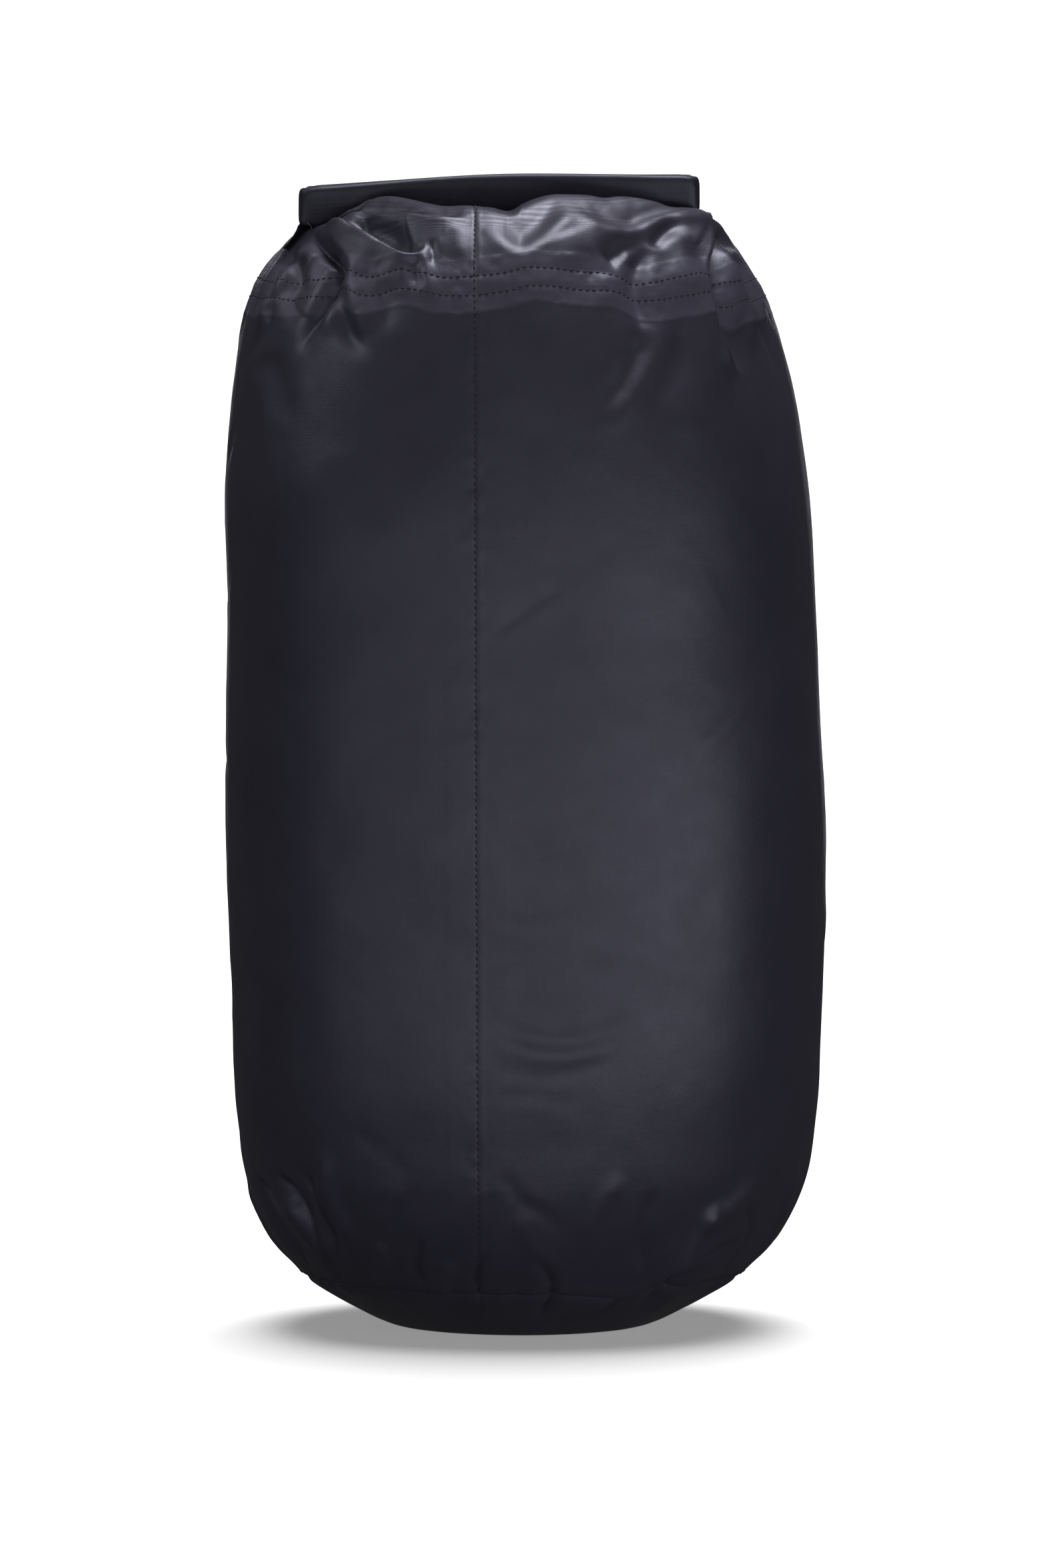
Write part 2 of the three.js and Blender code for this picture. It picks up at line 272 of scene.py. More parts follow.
def dome_top(x, y):
    """Height of the gathered fabric over the middle of the sack."""
    floor_z = roll_bottom + 1.4 + droop(x)
    gathers = crest(x)
    groove = soft_min(gathers, floor_z, 1.5)
    behind_crest = (y - crest_y(x)) / (roll_y - roll_thick / 2 - 1 - crest_y(x))
    front = mix(gathers, groove, smooth(0.1, 1, behind_crest))
    under = mix(front, floor_z, smooth(roll_y - roll_thick / 2 - 3, roll_y, y))
    hollow = 403.6 + 2.6 * smooth(20, 75, y)
    behind = mix(under, hollow, smooth(roll_y + 1, roll_y + 34, y))
    level = behind
    for side in (-1, 1):
        away = beside_arm(x, y, side)
        hang = droop(x) if side < 0 else 0
        ridge = roll_bottom - 2.2 + hang - 0.022 * away**2 - 0.25 * away
        level = np.where(y > roll_y - 4, soft_max(level, ridge, 3), level)
    return level


def collar_height(x, y):
    r = np.hypot(x - middle_x(np.array(400.0)), y)
    a = np.arctan2(y, x - middle_x(np.array(400.0)))
    in_front = smooth(0.25, 0.85, -np.sin(a))
    behind = smooth(0.25, 0.85, np.sin(a))
    to_right = smooth(-0.5, 0.5, np.cos(a))
    side = mix(left_slope(r), right_slope(r), to_right)
    slope = mix(mix(side, front_slope(r), in_front), back_slope(r), behind)
    return soft_min(slope, dome_top(x, y), 3.6)


# ---- folds ----
# Each fold is a line on the fabric as seen from one side: (across, height) points, with how far it stands
# out and its half width. A lip stands out on its left and is undercut on its right, going along the line.
# A drape is a soft lip.
def fold(kind, height, width, *points):
    return kind, height, width, points


front_folds = [
    # gathers left of the long seam: the second layer, the hollow under it and the third layer
    fold("lip", 2.8, 4.2, (-20, 414.6), (-28, 413.8), (-35, 414), (-44, 415.6), (-54, 417),
         (-62, 416.4), (-69, 414.6), (-74, 411.6)),
    fold("valley", 1.3, 2.6, (-66, 418), (-58, 419), (-48, 417.8), (-40, 416.4)),
    fold("valley", 3.2, 4.6, (-66, 414), (-56, 411.5), (-47, 407.5), (-40, 406)),
    fold("lip", 4.4, 5.0, (-36, 404), (-38, 401.4), (-42.5, 400), (-47, 401.6), (-52.5, 405),
         (-59.5, 409), (-66, 412.4), (-71, 413), (-76, 411.4), (-79.5, 408.4)),
    fold("ridge", 1.5, 5.0, (-74, 409), (-66, 406), (-58, 402), (-50, 397)),
    fold("crease", 3.8, 3.0, (-80, 411), (-78, 406), (-74, 402), (-68.5, 396.8), (-69, 393),
         (-72.4, 386), (-76.6, 378.5), (-80, 372), (-83, 364)),
    fold("ridge", 1.6, 4.6, (-62, 402), (-62, 396), (-63, 388), (-69, 378), (-74, 370)),
    fold("valley", 1.8, 2.8, (-87, 403.5), (-85.6, 398), (-84.4, 394), (-85.4, 390.5), (-87.6, 386),
         (-89, 380)),
    fold("ridge", 1.2, 3.0, (-80, 404), (-79, 396), (-80, 388)),
    # the narrow upright pleat
    fold("ridge", 0.8, 2.6, (-37.5, 405), (-36.4, 399), (-36, 393), (-34, 386), (-33, 380)),
    fold("crease", 0.9, 2.0, (-34.4, 406), (-33.6, 400), (-33.4, 395)),
    fold("valley", 1.5, 3.0, (-41, 399), (-40, 394), (-39, 387)),
    # drops below the band on the left
    fold("valley", 1.8, 3.6, (-69, 391), (-68, 385.5), (-67, 378.5), (-64.6, 372), (-60.5, 367.4),
         (-55, 365.5)),
    fold("ridge", 0.9, 4.6, (-60, 392), (-59.5, 384), (-59, 377), (-57, 371)),
    fold("valley", 0.6, 4.0, (-50.5, 392), (-51, 384), (-51.5, 378), (-52.6, 371)),
    # the swag beside the long seam
    fold("drape", 3.2, 6.6, (19, 420), (12.5, 414), (8, 409.4), (3.3, 405.2), (-2, 402.8),
         (-7.4, 406.2), (-12.8, 412), (-16.6, 417)),
    fold("ridge", 0.6, 3.4, (-24, 412), (-24, 404), (-23.6, 397)),
    # gathers to its right
    fold("drape", 2.8, 4.8, (44, 408.6), (36, 409.4), (28, 411.6), (22, 415), (18.6, 418.6)),
    fold("ridge", 0.9, 6.0, (14, 408), (16, 401), (16, 394)),
    fold("drape", 3.0, 4.6, (69, 412), (65.5, 414.4), (58, 415.6), (52, 414.8), (45.4, 412.6),
         (39, 410.2), (34, 409)),
    fold("valley", 2.6, 4.2, (28, 397.5), (33, 401), (38, 403.6), (45, 406.4)),
    fold("ridge", 0.7, 3.0, (36.5, 398.6), (40, 401), (45.5, 404.8)),
    fold("valley", 2.5, 3.8, (47, 403.5), (42, 399.5), (40.4, 394), (40.4, 388), (41.8, 381),
         (42.6, 375), (41, 368)),
    fold("valley", 1.8, 3.0, (46, 402), (50, 408), (56.5, 413)),
    fold("ridge", 1.5, 9.0, (57, 410), (57.5, 404), (57, 396), (56.5, 388), (57, 380)),
    fold("ridge", 0.8, 4.4, (31, 394), (30, 387), (31, 380)),
    # the overlap at the right corner and the shoulder outside it
    fold("lip", 4.6, 4.4, (79.5, 356), (73.6, 364.8), (70, 372.6), (67.8, 379.8), (65.8, 388.3),
         (64.8, 394.8), (65.4, 399), (66.6, 405.4), (67.2, 411), (67.6, 416), (68, 422), (68, 428)),
    fold("ridge", 2.0, 4.0, (74, 407), (73, 401), (73.6, 394), (75, 386), (78, 378), (81, 371)),
    fold("valley", 1.4, 2.6, (71, 410), (74, 406.5), (78, 402)),
    # drops that run out into the tube below the collar
    fold("valley", 1.9, 4.6, (43.5, 374), (40, 362), (33.4, 350), (27, 340)),
    fold("ridge", 0.9, 5.6, (54, 378), (46, 362), (34.6, 345.6), (25, 331)),
    fold("valley", 1.0, 5.4, (62, 378), (56, 363), (49, 351), (42, 340)),
    fold("ridge", 0.6, 6.5, (70, 360), (64, 346), (56, 328)),
    fold("valley", 0.4, 8.0, (-46, 372), (-44, 352), (-46, 330)),
    fold("valley", 0.6, 5.0, (-95, 366), (-90, 352), (-88, 336)),
]


def gathers_round_the_back():
    """Folds that fan out from under the loop over the sides and the back."""
    made = []
    draw = np.random.default_rng(5)
    for i, turn in enumerate(np.arange(52, 309, 7.5)):
        kind = ("valley", "ridge", "crease", "ridge")[i % 4]
        height = draw.uniform(0.9, 2.4) * (0.8 if kind == "crease" else 1)
        height *= 1 - 0.75 * math.exp(-((min(abs(turn - 90), abs(turn - 270)) / 16) ** 2))
        width = draw.uniform(2.4, 4.6)
        top = draw.uniform(405, 411)
        low = draw.uniform(352, 380)
        wander = draw.uniform(-9, 9, 4)
        shares = ((0.4, 0), (0.5, 0.35), (1, 0.7), (1.4, 1))
        line = [(sway * spread, mix(top, low, down)) for sway, (spread, down) in zip(wander, shares)]
        made.append((math.radians(turn + draw.uniform(-2, 2)), fold(kind, height, width, *line)))
    return made


tube_folds = [
    # slack in the tube beside the long seam and low down
    fold("valley", 0.3, 2.6, (-14, 262), (-5, 268), (6, 276), (18, 281)),
    fold("valley", 0.2, 2.8, (-14, 187), (-2, 183), (12, 186), (26, 192)),
    fold("valley", 0.22, 3.0, (-14, 161), (2, 157), (18, 161), (34, 168)),
    fold("valley", 0.34, 3.2, (-16, 124), (-2, 117), (14, 115), (34, 120), (48, 127)),
    fold("ridge", 0.26, 3.6, (-15, 118), (2, 111), (20, 109), (38, 115)),
    fold("valley", 0.26, 3.0, (-14, 106), (6, 102), (24, 106), (44, 114)),
    fold("valley", 0.24, 2.8, (-12, 94), (4, 95), (20, 91)),
    fold("valley", 0.45, 3.0, (-10, 68), (-1, 56), (8, 50), (18, 38)),
    fold("ridge", 0.4, 3.4, (-4, 52), (2, 40), (12, 30)),
    fold("ridge", 0.8, 3.4, (36, 66), (26, 52), (20, 34)),
    fold("valley", 0.9, 2.6, (48, 60), (42, 42), (44, 24)),
    fold("valley", 0.2, 3.6, (-66, 84), (-48, 70), (-34, 60)),
    fold("ridge", 0.2, 3.4, (-58, 62), (-44, 58), (-26, 62)),
    fold("valley", 0.5, 3.4, (-38, 62), (-46, 50), (-46, 38)),
    fold("ridge", 1.2, 3.4, (-74, 74), (-72, 56), (-64, 40), (-62, 26)),
    # folds that the base seam pulls in
    fold("crease", 2.8, 3.2, (-95, 63), (-82, 50), (-71, 28), (-66, 19)),
    fold("ridge", 2.6, 3.8, (-90, 54), (-77, 38), (-67, 24)),
    fold("crease", 1.8, 2.8, (-82, 66), (-76, 50), (-70, 36), (-68, 24)),
    fold("ridge", 1.0, 3.4, (-28, 34), (-30, 24), (-34, 14)),
    fold("crease", 1.2, 2.8, (-14, 36), (-18, 26), (-16, 16)),
    fold("crease", 2.0, 3.2, (-101, 60), (-92, 44), (-82, 28)),
    fold("crease", 1.6, 2.6, (4, 8), (10, 18), (8, 28), (2, 36)),
    fold("lip", 2.2, 4.0, (16, 4), (30, 16), (48, 24), (66, 33), (84, 42)),
    fold("crease", 2.0, 3.2, (40, 8), (60, 26), (82, 38)),
    fold("ridge", 1.8, 3.8, (62, 44), (76, 50), (90, 62)),
    fold("ridge", 1.2, 3.0, (-54, 40), (-52, 30), (-56, 20)),
    fold("crease", 1.4, 2.6, (-38, 42), (-40, 30), (-36, 20)),
]


def slack_round_the_tube():
    """Soft creases on the sides and the back, like those in front."""
    made = []
    draw = np.random.default_rng(23)
    for _ in range(26):
        turn = math.radians(draw.uniform(35, 325))
        z = draw.uniform(30, 350)
        length = draw.uniform(14, 46)
        slope = draw.uniform(-0.9, 0.9)
        kind = ("crease", "ridge", "valley")[draw.integers(3)]
        rise = slope * length / 2
        line = [(-length / 2, z - rise), (0, z + draw.uniform(-3, 3)), (length / 2, z + rise)]
        made.append((turn, fold(kind, draw.uniform(0.25, 0.6), draw.uniform(2.4, 5.0), *line)))
    for turn in range(40, 325, 15):
        line = [(draw.uniform(-14, 14), draw.uniform(44, 66)), (draw.uniform(-7, 7), 36), (0, 20)]
        kind = "crease" if turn % 2 else "ridge"
        made.append((math.radians(turn), fold(kind, draw.uniform(0.7, 1.5), 3, *line)))
    return made


def fold_line(points, steps=6):
    """The fold's line as many short straight steps."""
    control = np.array([points[0], *points, points[-1]], float)
    line = []
    for i in range(1, len(control) - 2):
        p0, p1, p2, p3 = control[i - 1 : i + 3]
        for t in np.arange(steps) / steps:
            bend = (2 * p0 - 5 * p1 + 4 * p2 - p3) * t**2 + (3 * p1 - p0 - 3 * p2 + p3) * t**3
            line.append(0.5 * (2 * p1 + (p2 - p0) * t + bend))
    line.append(control[-2])
    return np.array(line)


def fold_at(one, across, z):
    """How far one fold moves the fabric at each (across, height)."""
    kind, height, width, points = one
    line = fold_line(points)
    lengths = np.hypot(*np.diff(line, axis=0).T)
    run = np.concatenate([[0], np.cumsum(lengths)])
    reach = 4 * width
    near = (across > line[:, 0].min() - reach) & (across < line[:, 0].max() + reach)
    near &= (z > line[:, 1].min() - reach) & (z < line[:, 1].max() + reach)
    moved = np.zeros_like(z)
    if not near.any():
        return moved
    p = np.stack([across[near], z[near]], axis=-1)
    best = np.full(len(p), 1e9)
    side = np.zeros(len(p))
    share = np.zeros(len(p))
    for i, length in enumerate(lengths):
        if length < 1e-9:
            continue
        way = (line[i + 1] - line[i]) / length
        t = np.clip((p - line[i]) @ way, 0, length)
        gap = p - line[i] - t[:, None] * way
        away = np.hypot(gap[:, 0], gap[:, 1])
        closer = away < best
        best = np.where(closer, away, best)
        side = np.where(closer, np.sign(way[0] * gap[:, 1] - way[1] * gap[:, 0]), side)
        share = np.where(closer, (run[i] + t) / run[-1], share)
    taper = smooth(-0.02, 0.22, share) * (1 - smooth(0.6, 1.02, share))
    d = best / width
    if kind == "ridge":
        shape = np.exp(-d * d)
    elif kind == "valley":
        shape = -np.exp(-d * d)
    elif kind == "crease":
        shape = -np.exp(-1.5 * d) * 1.1 + 0.25 * np.exp(-((d - 1.4) ** 2))
    else:
        signed = d * side
        over = np.exp(-np.maximum(signed, 0) / 1.7)
        under = -0.75 * np.exp(-np.maximum(-signed, 0) / 1.0)
        low, high = (-0.42, 0.22) if kind == "lip" else (-1.1, 0.7)
        shape = mix(under, over, smooth(low, high, signed))
        shape *= smooth(3.9, 2.0, d)
    moved[near] = height * taper * shape
    return moved


fans = gathers_round_the_back()
slacks = slack_round_the_tube()


def folds_on(place):
    """Every fold's outward movement over a grid of points."""
    x, y, z = place[..., 0], place[..., 1], place[..., 2]
    total = np.zeros_like(z)
    facing = smooth(8, -22, y)
    for one in front_folds + tube_folds:
        total += 1.2 * facing * fold_at(one, x, z)
    outside = smooth(46, 76, np.hypot(x - middle_x(z), y))
    for turn, one in fans + slacks:
        c, s = math.cos(turn), math.sin(turn)
        cx = middle_x(z)
        across = (x - cx) * c + y * s
        ahead = (x - cx) * s - y * c
        total += outside * smooth(-5, 25, ahead) * fold_at(one, across, z)
    return total


# ---- seams and small unevenness ----
def around(place):
    """Azimuth of each point, as a length round the widest part of the tube."""
    x, y, z = place[..., 0], place[..., 1], place[..., 2]
    return np.arctan2(y, x - middle_x(z)) / (2 * math.pi) * girth


def row_wave(u, seed):
    """How far the collar's rows sway up and down round the sack; in front they follow the gathers there."""
    turn = u / girth * 2 * math.pi
    x = middle_x(np.array(390.0)) + ring_r * np.cos(turn)
    wander = 1.5 * lattice(u, u * 0, 26, 31, girth) + 0.5 * lattice(u, u * 0, 10, seed, girth)
    followed = row_sway(x) + 0.35 * lattice(u, u * 0, 7, seed, girth)
    return mix(wander, followed, smooth(0.1, 0.4, -np.sin(turn)))


def tape_edges(place):
    """Lower and upper edge of the collar seam's tape, which wander with the gathers."""
    u = around(place)
    ripple = 0.8 * lattice(u, u * 0, 11, 32, girth)
    return row_low - 6.6 + 1.3 * row_wave(u, 41) + ripple, row_high + 5.6 + 0.7 * row_wave(u, 42) + ripple


def step_line(value, edge, soft):
    return smooth(edge - soft, edge + soft, value)


def lined_sheen_share(place):
    """Where the collar's tape backs the cloth: the band that the nylon paints lighter, a painted sheen."""
    z = place[..., 2]
    low, high = tape_edges(place)
    return step_line(z, low, 0.8) * (1 - step_line(z, high, 0.8))


def seam_relief(place, off_seam):
    """The tapes' thickness, the seams' grooves and the puckers along them."""
    z = place[..., 2]
    u = around(place)
    low, high = tape_edges(place)
    band = step_line(z, low, 0.9) * (1 - step_line(z, high, 0.9))
    edge = np.exp(-((z - low) / 0.7) ** 2) + np.exp(-((z - high) / 0.7) ** 2)
    total = 0.08 * band + 0.07 * edge
    for row, seed in ((row_low, 41), (row_high, 42)):
        d = z - row - row_wave(u, seed)
        total -= 0.1 * np.exp(-((d / 0.8) ** 2))
        pucker = lattice(u, z * 0, 4.2, seed + 5, girth)
        total += 0.16 * pucker * np.exp(-((d / 2.6) ** 2))
    crumple = lattice(u, z, 5.5, 61, girth) * lattice(u, z, 3.1, 62, girth)
    total += 0.3 * band * crumple
    long_tape = step_line(-np.abs(off_seam), -tape_half, 0.5)
    total += 0.08 * long_tape + 0.03 * np.exp(-((np.abs(off_seam) - tape_half) / 0.7) ** 2)
    total -= 0.24 * np.exp(-((off_seam / 0.6) ** 2))
    total += 0.1 * np.exp(-(((off_seam - 1.8) / 1.0) ** 2))
    total += 0.16 * lattice(z, off_seam, 3.4, 71) * np.exp(-((off_seam / 5) ** 2))
    total *= np.where(z > 396, smooth(44, 66, np.hypot(place[..., 0], place[..., 1])), 1)
    base = z - seam_z
    total -= 0.55 * np.exp(-((base / 0.9) ** 2))
    total += 0.7 * lattice(u, z * 0, 7.5, 81, girth) * np.exp(-((base / 8) ** 2))
    total += 0.25 * np.exp(-(((base - 2.6) / 1.8) ** 2))
    return total


def unevenness(place):
    """Slack and small crumples all over."""
    z = place[..., 2]
    u = around(place)
    total = 0.75 * lattice(u, z, 74, 1, girth) + 0.5 * lattice(u, z, 41, 2, girth)
    total += 0.22 * lattice(u, z, 19, 3, girth)
    ridged = 1 - np.abs(lattice(u + 0.4 * z, z, 27, 4, girth))
    patch = smooth(-0.2, 0.6, lattice(u, z, 52, 5, girth))
    total += 0.18 * patch * ridged**4
    total += 0.07 * lattice(u, z, 8, 6, girth)
    ends = smooth(330, 392, z) + smooth(80, 30, z)
    in_front = 1 - 0.7 * smooth(20, -40, place[..., 1])
    upright = 0.4 * lattice(u, z * 0.4, 15, 7, girth) + 0.3 * lattice(u, z * 0.5, 8.5, 8, girth)
    total += in_front * ends * upright
    x, y = place[..., 0], place[..., 1]
    hollow = 1.6 * lattice(x, y, 23, 91) + 0.6 * lattice(x, y, 11, 92)
    inside = smooth(66, 44, np.hypot(x - middle_x(z), y)) * (z > 396)
    return mix(total, hollow, inside)


def normals_of(place, closed=True):
    """Unit normals of a grid of points, rows by columns."""
    if closed:
        side = np.roll(place, -1, axis=1) - np.roll(place, 1, axis=1)
    else:
        side = np.gradient(place, axis=1)
    up = np.gradient(place, axis=0)
    n = np.cross(side, up)
    return n / np.maximum(np.linalg.norm(n, axis=-1, keepdims=True), 1e-9)


def off_seam_of(place):
    """Distance round the sack from the long seam."""
    x, y, z = place[..., 0], place[..., 1], place[..., 2]
    r = np.hypot(x - middle_x(z), y)
    a = np.arctan2(y, x - middle_x(z))
    turn = (a - seam_azimuth(z, np.maximum(r, 20)) + math.pi) % (2 * math.pi) - math.pi
    return turn * r


def settle(place, share=1.0):
    """Moves a smooth grid out and in by its folds, seams and slack."""
    n = normals_of(place)
    move = folds_on(place) + seam_relief(place, off_seam_of(place)) + unevenness(place)
    return place + n * (move * share)[..., None], n


# ---- meshes ----
def make_piece(name, points, faces, material, uv=None):
    """A mesh object from points in millimetres; uv is one pair in metres for each point."""
    mesh = bpy.data.meshes.new(name)
    mesh.from_pydata((np.asarray(points) * MM).tolist(), [], [list(map(int, f)) for f in faces])
    if uv is not None:
        layer = mesh.uv_layers.new(name="cloth")
        index = np.zeros(len(mesh.loops), np.int32)
        mesh.loops.foreach_get("vertex_index", index)
        layer.data.foreach_set("uv", (np.asarray(uv)[index] * MM).astype(np.float32).ravel())
    mesh.materials.append(material)
    mesh.polygons.foreach_set("use_smooth", [True] * len(mesh.polygons))
    mesh.validate()
    mesh.update()
    piece = bpy.data.objects.new(name, mesh)
    bpy.context.scene.collection.objects.link(piece)
    return piece


def face_outward(piece):
    """Turns a closed piece's faces outward."""
    solid = bmesh.new()
    solid.from_mesh(piece.data)
    bmesh.ops.recalc_face_normals(solid, faces=solid.faces)
    solid.to_mesh(piece.data)
    solid.free()
    return piece


def grid_faces(rows, cols, closed=True, start=0):
    i, j = np.meshgrid(np.arange(rows - 1), np.arange(cols if closed else cols - 1), indexing="ij")
    k = (j + 1) % cols
    quad = np.stack([i * cols + j, i * cols + k, (i + 1) * cols + k, (i + 1) * cols + j], axis=-1)
    return quad.reshape(-1, 4) + start


def thicken(piece, thick, offset=-1.0):
    """Gives a sheet its thickness, inward from its outer face, with crisp cut edges."""
    cloth = bmesh.new()
    cloth.from_mesh(piece.data)
    for edge in cloth.edges:
        if edge.is_boundary:
            edge.smooth = False
    cloth.to_mesh(piece.data)
    cloth.free()
    modifier = piece.modifiers.new("thickness", "SOLIDIFY")
    modifier.thickness = thick * MM
    modifier.offset = offset
    return piece


def sheet_piece(name, place, material, closed=True, thick=fabric_thick, uv=None):
    rows, cols = place.shape[:2]
    faces = grid_faces(rows, cols, closed)
    piece = make_piece(name, place.reshape(-1, 3), faces, material, uv)
    return thicken(piece, thick)


# ---- materials ----
class Nodes:
    """A few lines to write node trees with."""

    def __init__(self, name):
        self.material = bpy.data.materials.new(name)
        self.material.use_nodes = True
        self.tree = self.material.node_tree
        self.shader = self.tree.nodes["Principled BSDF"]

    def add(self, kind, **settings):
        node = self.tree.nodes.new("ShaderNode" + kind)
        for key, value in settings.items():
            if key in node.inputs:
                node.inputs[key].default_value = value
            else:
                setattr(node, key, value)
        return node

    def link(self, out, into):
        self.tree.links.new(out, into)
        return self

    def coordinates(self, scale):
        """Object-space position, scaled."""
        where = self.add("TexCoord")
        mapping = self.add("Mapping")
        mapping.inputs["Scale"].default_value = scale if hasattr(scale, "__len__") else (scale,) * 3
        self.link(where.outputs["Object"], mapping.inputs["Vector"])
        return mapping.outputs["Vector"]

    def noise(self, scale, detail=3.0, rough=0.55):
        node = self.add("TexNoise", Scale=1.0, Detail=detail, Roughness=rough)
        self.link(self.coordinates(scale), node.inputs["Vector"])
        return node.outputs["Fac"]

    def ramp(self, value, low, high):
        """Maps 0..1 to low..high."""
        node = self.add("MapRange")
        node.inputs["To Min"].default_value = low
        node.inputs["To Max"].default_value = high
        self.link(value, node.inputs["Value"])
        return node.outputs["Result"]

    def tint(self, value, dark, light, low=0.3, high=0.7):
        node = self.add("ValToRGB")
        node.color_ramp.elements[0].position = low
        node.color_ramp.elements[0].color = (*dark, 1)
        node.color_ramp.elements[1].position = high
        node.color_ramp.elements[1].color = (*light, 1)
        self.link(value, node.inputs["Fac"])
        return node.outputs["Color"]

    def maths(self, how, a, b):
        node = self.add("Math", operation=how)
        for socket, value in zip(node.inputs, (a, b)):
            if isinstance(value, (int, float)):
                socket.default_value = value
            else:
                self.link(value, socket)
        return node.outputs[0]

    def bump(self, height, strength, distance, onto=None):
        node = self.add("Bump", Strength=strength, Distance=distance)
        self.link(height, node.inputs["Height"])
        if onto is not None:
            self.link(onto, node.inputs["Normal"])
        return node.outputs["Normal"]

    def weave(self, pitch):
        """A plain weave over the cloth's own measured surface, pitch in metres."""
        where = self.add("UVMap", uv_map="cloth")
        bands = []
        for axis in ("X", "Y"):
            wave = self.add("TexWave", bands_direction=axis, wave_profile="SIN", Scale=1.0, Distortion=0.6)
            wave.inputs["Detail"].default_value = 1.0
            wave.inputs["Detail Scale"].default_value = 0.7
            mapping = self.add("Mapping")
            mapping.inputs["Scale"].default_value = (0.314 / pitch,) * 3
            self.link(where.outputs["UV"], mapping.inputs["Vector"])
            self.link(mapping.outputs["Vector"], wave.inputs["Vector"])
            bands.append(wave.outputs["Fac"])
        return self.maths("MAXIMUM", bands[0], bands[1])


def coated_nylon(name, dark, light, rough, weave_depth=0.00004):
    """Satin, closely woven nylon with a coating: faint weave, soft crumple, slightly uneven sheen, and a
    painted sheen that makes the taped band lighter.
    """
    m = Nodes(name)
    cloud = m.noise(34, 4)
    # The band where the collar's tape backs the cloth is painted lighter: a painted sheen for the stiffer
    # taped band's shine.
    sheen_band = m.add("Attribute", attribute_name="lined_sheen").outputs["Fac"]
    painted_sheen = m.add("Mix", data_type="RGBA")
    m.link(sheen_band, painted_sheen.inputs["Factor"])
    m.link(m.tint(cloud, dark, light), painted_sheen.inputs["A"])
    painted_sheen.inputs["B"].default_value = (light[0] * 1.65, light[1] * 1.65, light[2] * 1.6, 1)
    m.link(painted_sheen.outputs["Result"], m.shader.inputs["Base Color"])
    m.link(m.ramp(m.noise(90, 3), rough - 0.06, rough + 0.07), m.shader.inputs["Roughness"])
    m.shader.inputs["Specular IOR Level"].default_value = 0.4
    m.shader.inputs["Specular Tint"].default_value = (0.86, 0.86, 1.0, 1)
    crumple = m.bump(m.noise(60, 4, 0.55), 0.16, 0.0014)
    fine = m.bump(m.noise(420, 2), 0.12, 0.0003, crumple)
    woven = m.bump(m.weave(0.00042), 0.5, weave_depth, fine)
    m.link(woven, m.shader.inputs["Normal"])
    return m.material


def plain_finish(name, dark, light, rough, scale=260, depth=0.0001, specular=0.4):
    m = Nodes(name)
    m.link(m.tint(m.noise(scale * 0.4, 3), dark, light), m.shader.inputs["Base Color"])
    m.link(m.ramp(m.noise(scale * 0.6, 2), rough - 0.06, rough + 0.06), m.shader.inputs["Roughness"])
    m.shader.inputs["Specular IOR Level"].default_value = specular
    m.link(m.bump(m.noise(scale, 3), 0.35, depth), m.shader.inputs["Normal"])
    return m.material


def webbing_weave(name):
    """Narrow woven tape: slanting ribs across the webbing."""
    m = Nodes(name)
    where = m.add("UVMap", uv_map="cloth")
    mapping = m.add("Mapping")
    mapping.inputs["Scale"].default_value = (330, 330, 330)
    m.link(where.outputs["UV"], mapping.inputs["Vector"])
    wave = m.add("TexWave", bands_direction="DIAGONAL", wave_profile="SIN", Scale=1.0, Distortion=1.2)
    m.link(mapping.outputs["Vector"], wave.inputs["Vector"])
    ribs = m.tint(wave.outputs["Fac"], (0.010, 0.010, 0.012), (0.030, 0.030, 0.035), 0.1, 0.9)
    m.link(ribs, m.shader.inputs["Base Color"])
    m.shader.inputs["Roughness"].default_value = 0.78
    m.shader.inputs["Specular IOR Level"].default_value = 0.3
    m.link(m.bump(wave.outputs["Fac"], 0.7, 0.0004), m.shader.inputs["Normal"])
    return m.material


# The roll is the same coated nylon as the body: this darker copy is painted shade for the roll, whose front
# faces away from the top light.
shaded_mouth_nylon = coated_nylon("shaded_mouth_nylon", (0.0115, 0.011, 0.0165), (0.0145, 0.014, 0.0205), 0.46)
nylon = coated_nylon("coated_nylon", (0.0215, 0.0205, 0.030), (0.026, 0.0248, 0.0355), 0.42)
seam_tape = plain_finish("seam_tape", (0.030, 0.030, 0.036), (0.042, 0.041, 0.049), 0.34, 180, 0.0002, 0.5)
thread = plain_finish("thread", (0.008, 0.008, 0.011), (0.016, 0.016, 0.020), 0.7, 2400, 0.0001, 0.35)
strip_plastic = plain_finish("strip_plastic", (0.016, 0.016, 0.019), (0.024, 0.024, 0.028), 0.48, 300, 0.0001)
buckle_plastic = plain_finish(
    "buckle_plastic", (0.010, 0.010, 0.011), (0.017, 0.017, 0.019), 0.38, 900, 0.00012,
)
webbing = webbing_weave("webbing")

# ---- the fabric panels ----
base_radii = np.concatenate([np.linspace(2, 46, 12), np.arange(48, 80.6, 1.3)])
base_rows = np.stack([base_radii, base_z(base_radii)], axis=-1)
tube_z = np.concatenate([
    np.arange(seam_z, 60, 1.1), np.arange(60, 335, 1.9), np.arange(335, 375, 1.15),
    np.arange(375, lap_z - 0.3, 0.6), [lap_z],
])
tube_rows = np.stack([tube_r(tube_z), tube_z], axis=-1)
neck_rows = np.stack([tube_r([390.0]), [390.0]], axis=-1)
dome_radii = np.concatenate([
    np.arange(ring_r - 0.35, 86, -0.32), np.linspace(85.6, 46, 60), np.linspace(44, 3, 22),
])
outline = np.concatenate([base_rows, tube_rows, neck_rows])
below_dome = ring(outline[:, 1:], outline[:, :1])
over_dome = ring(np.full((len(dome_radii), 1), 392.0), dome_radii[:, None])
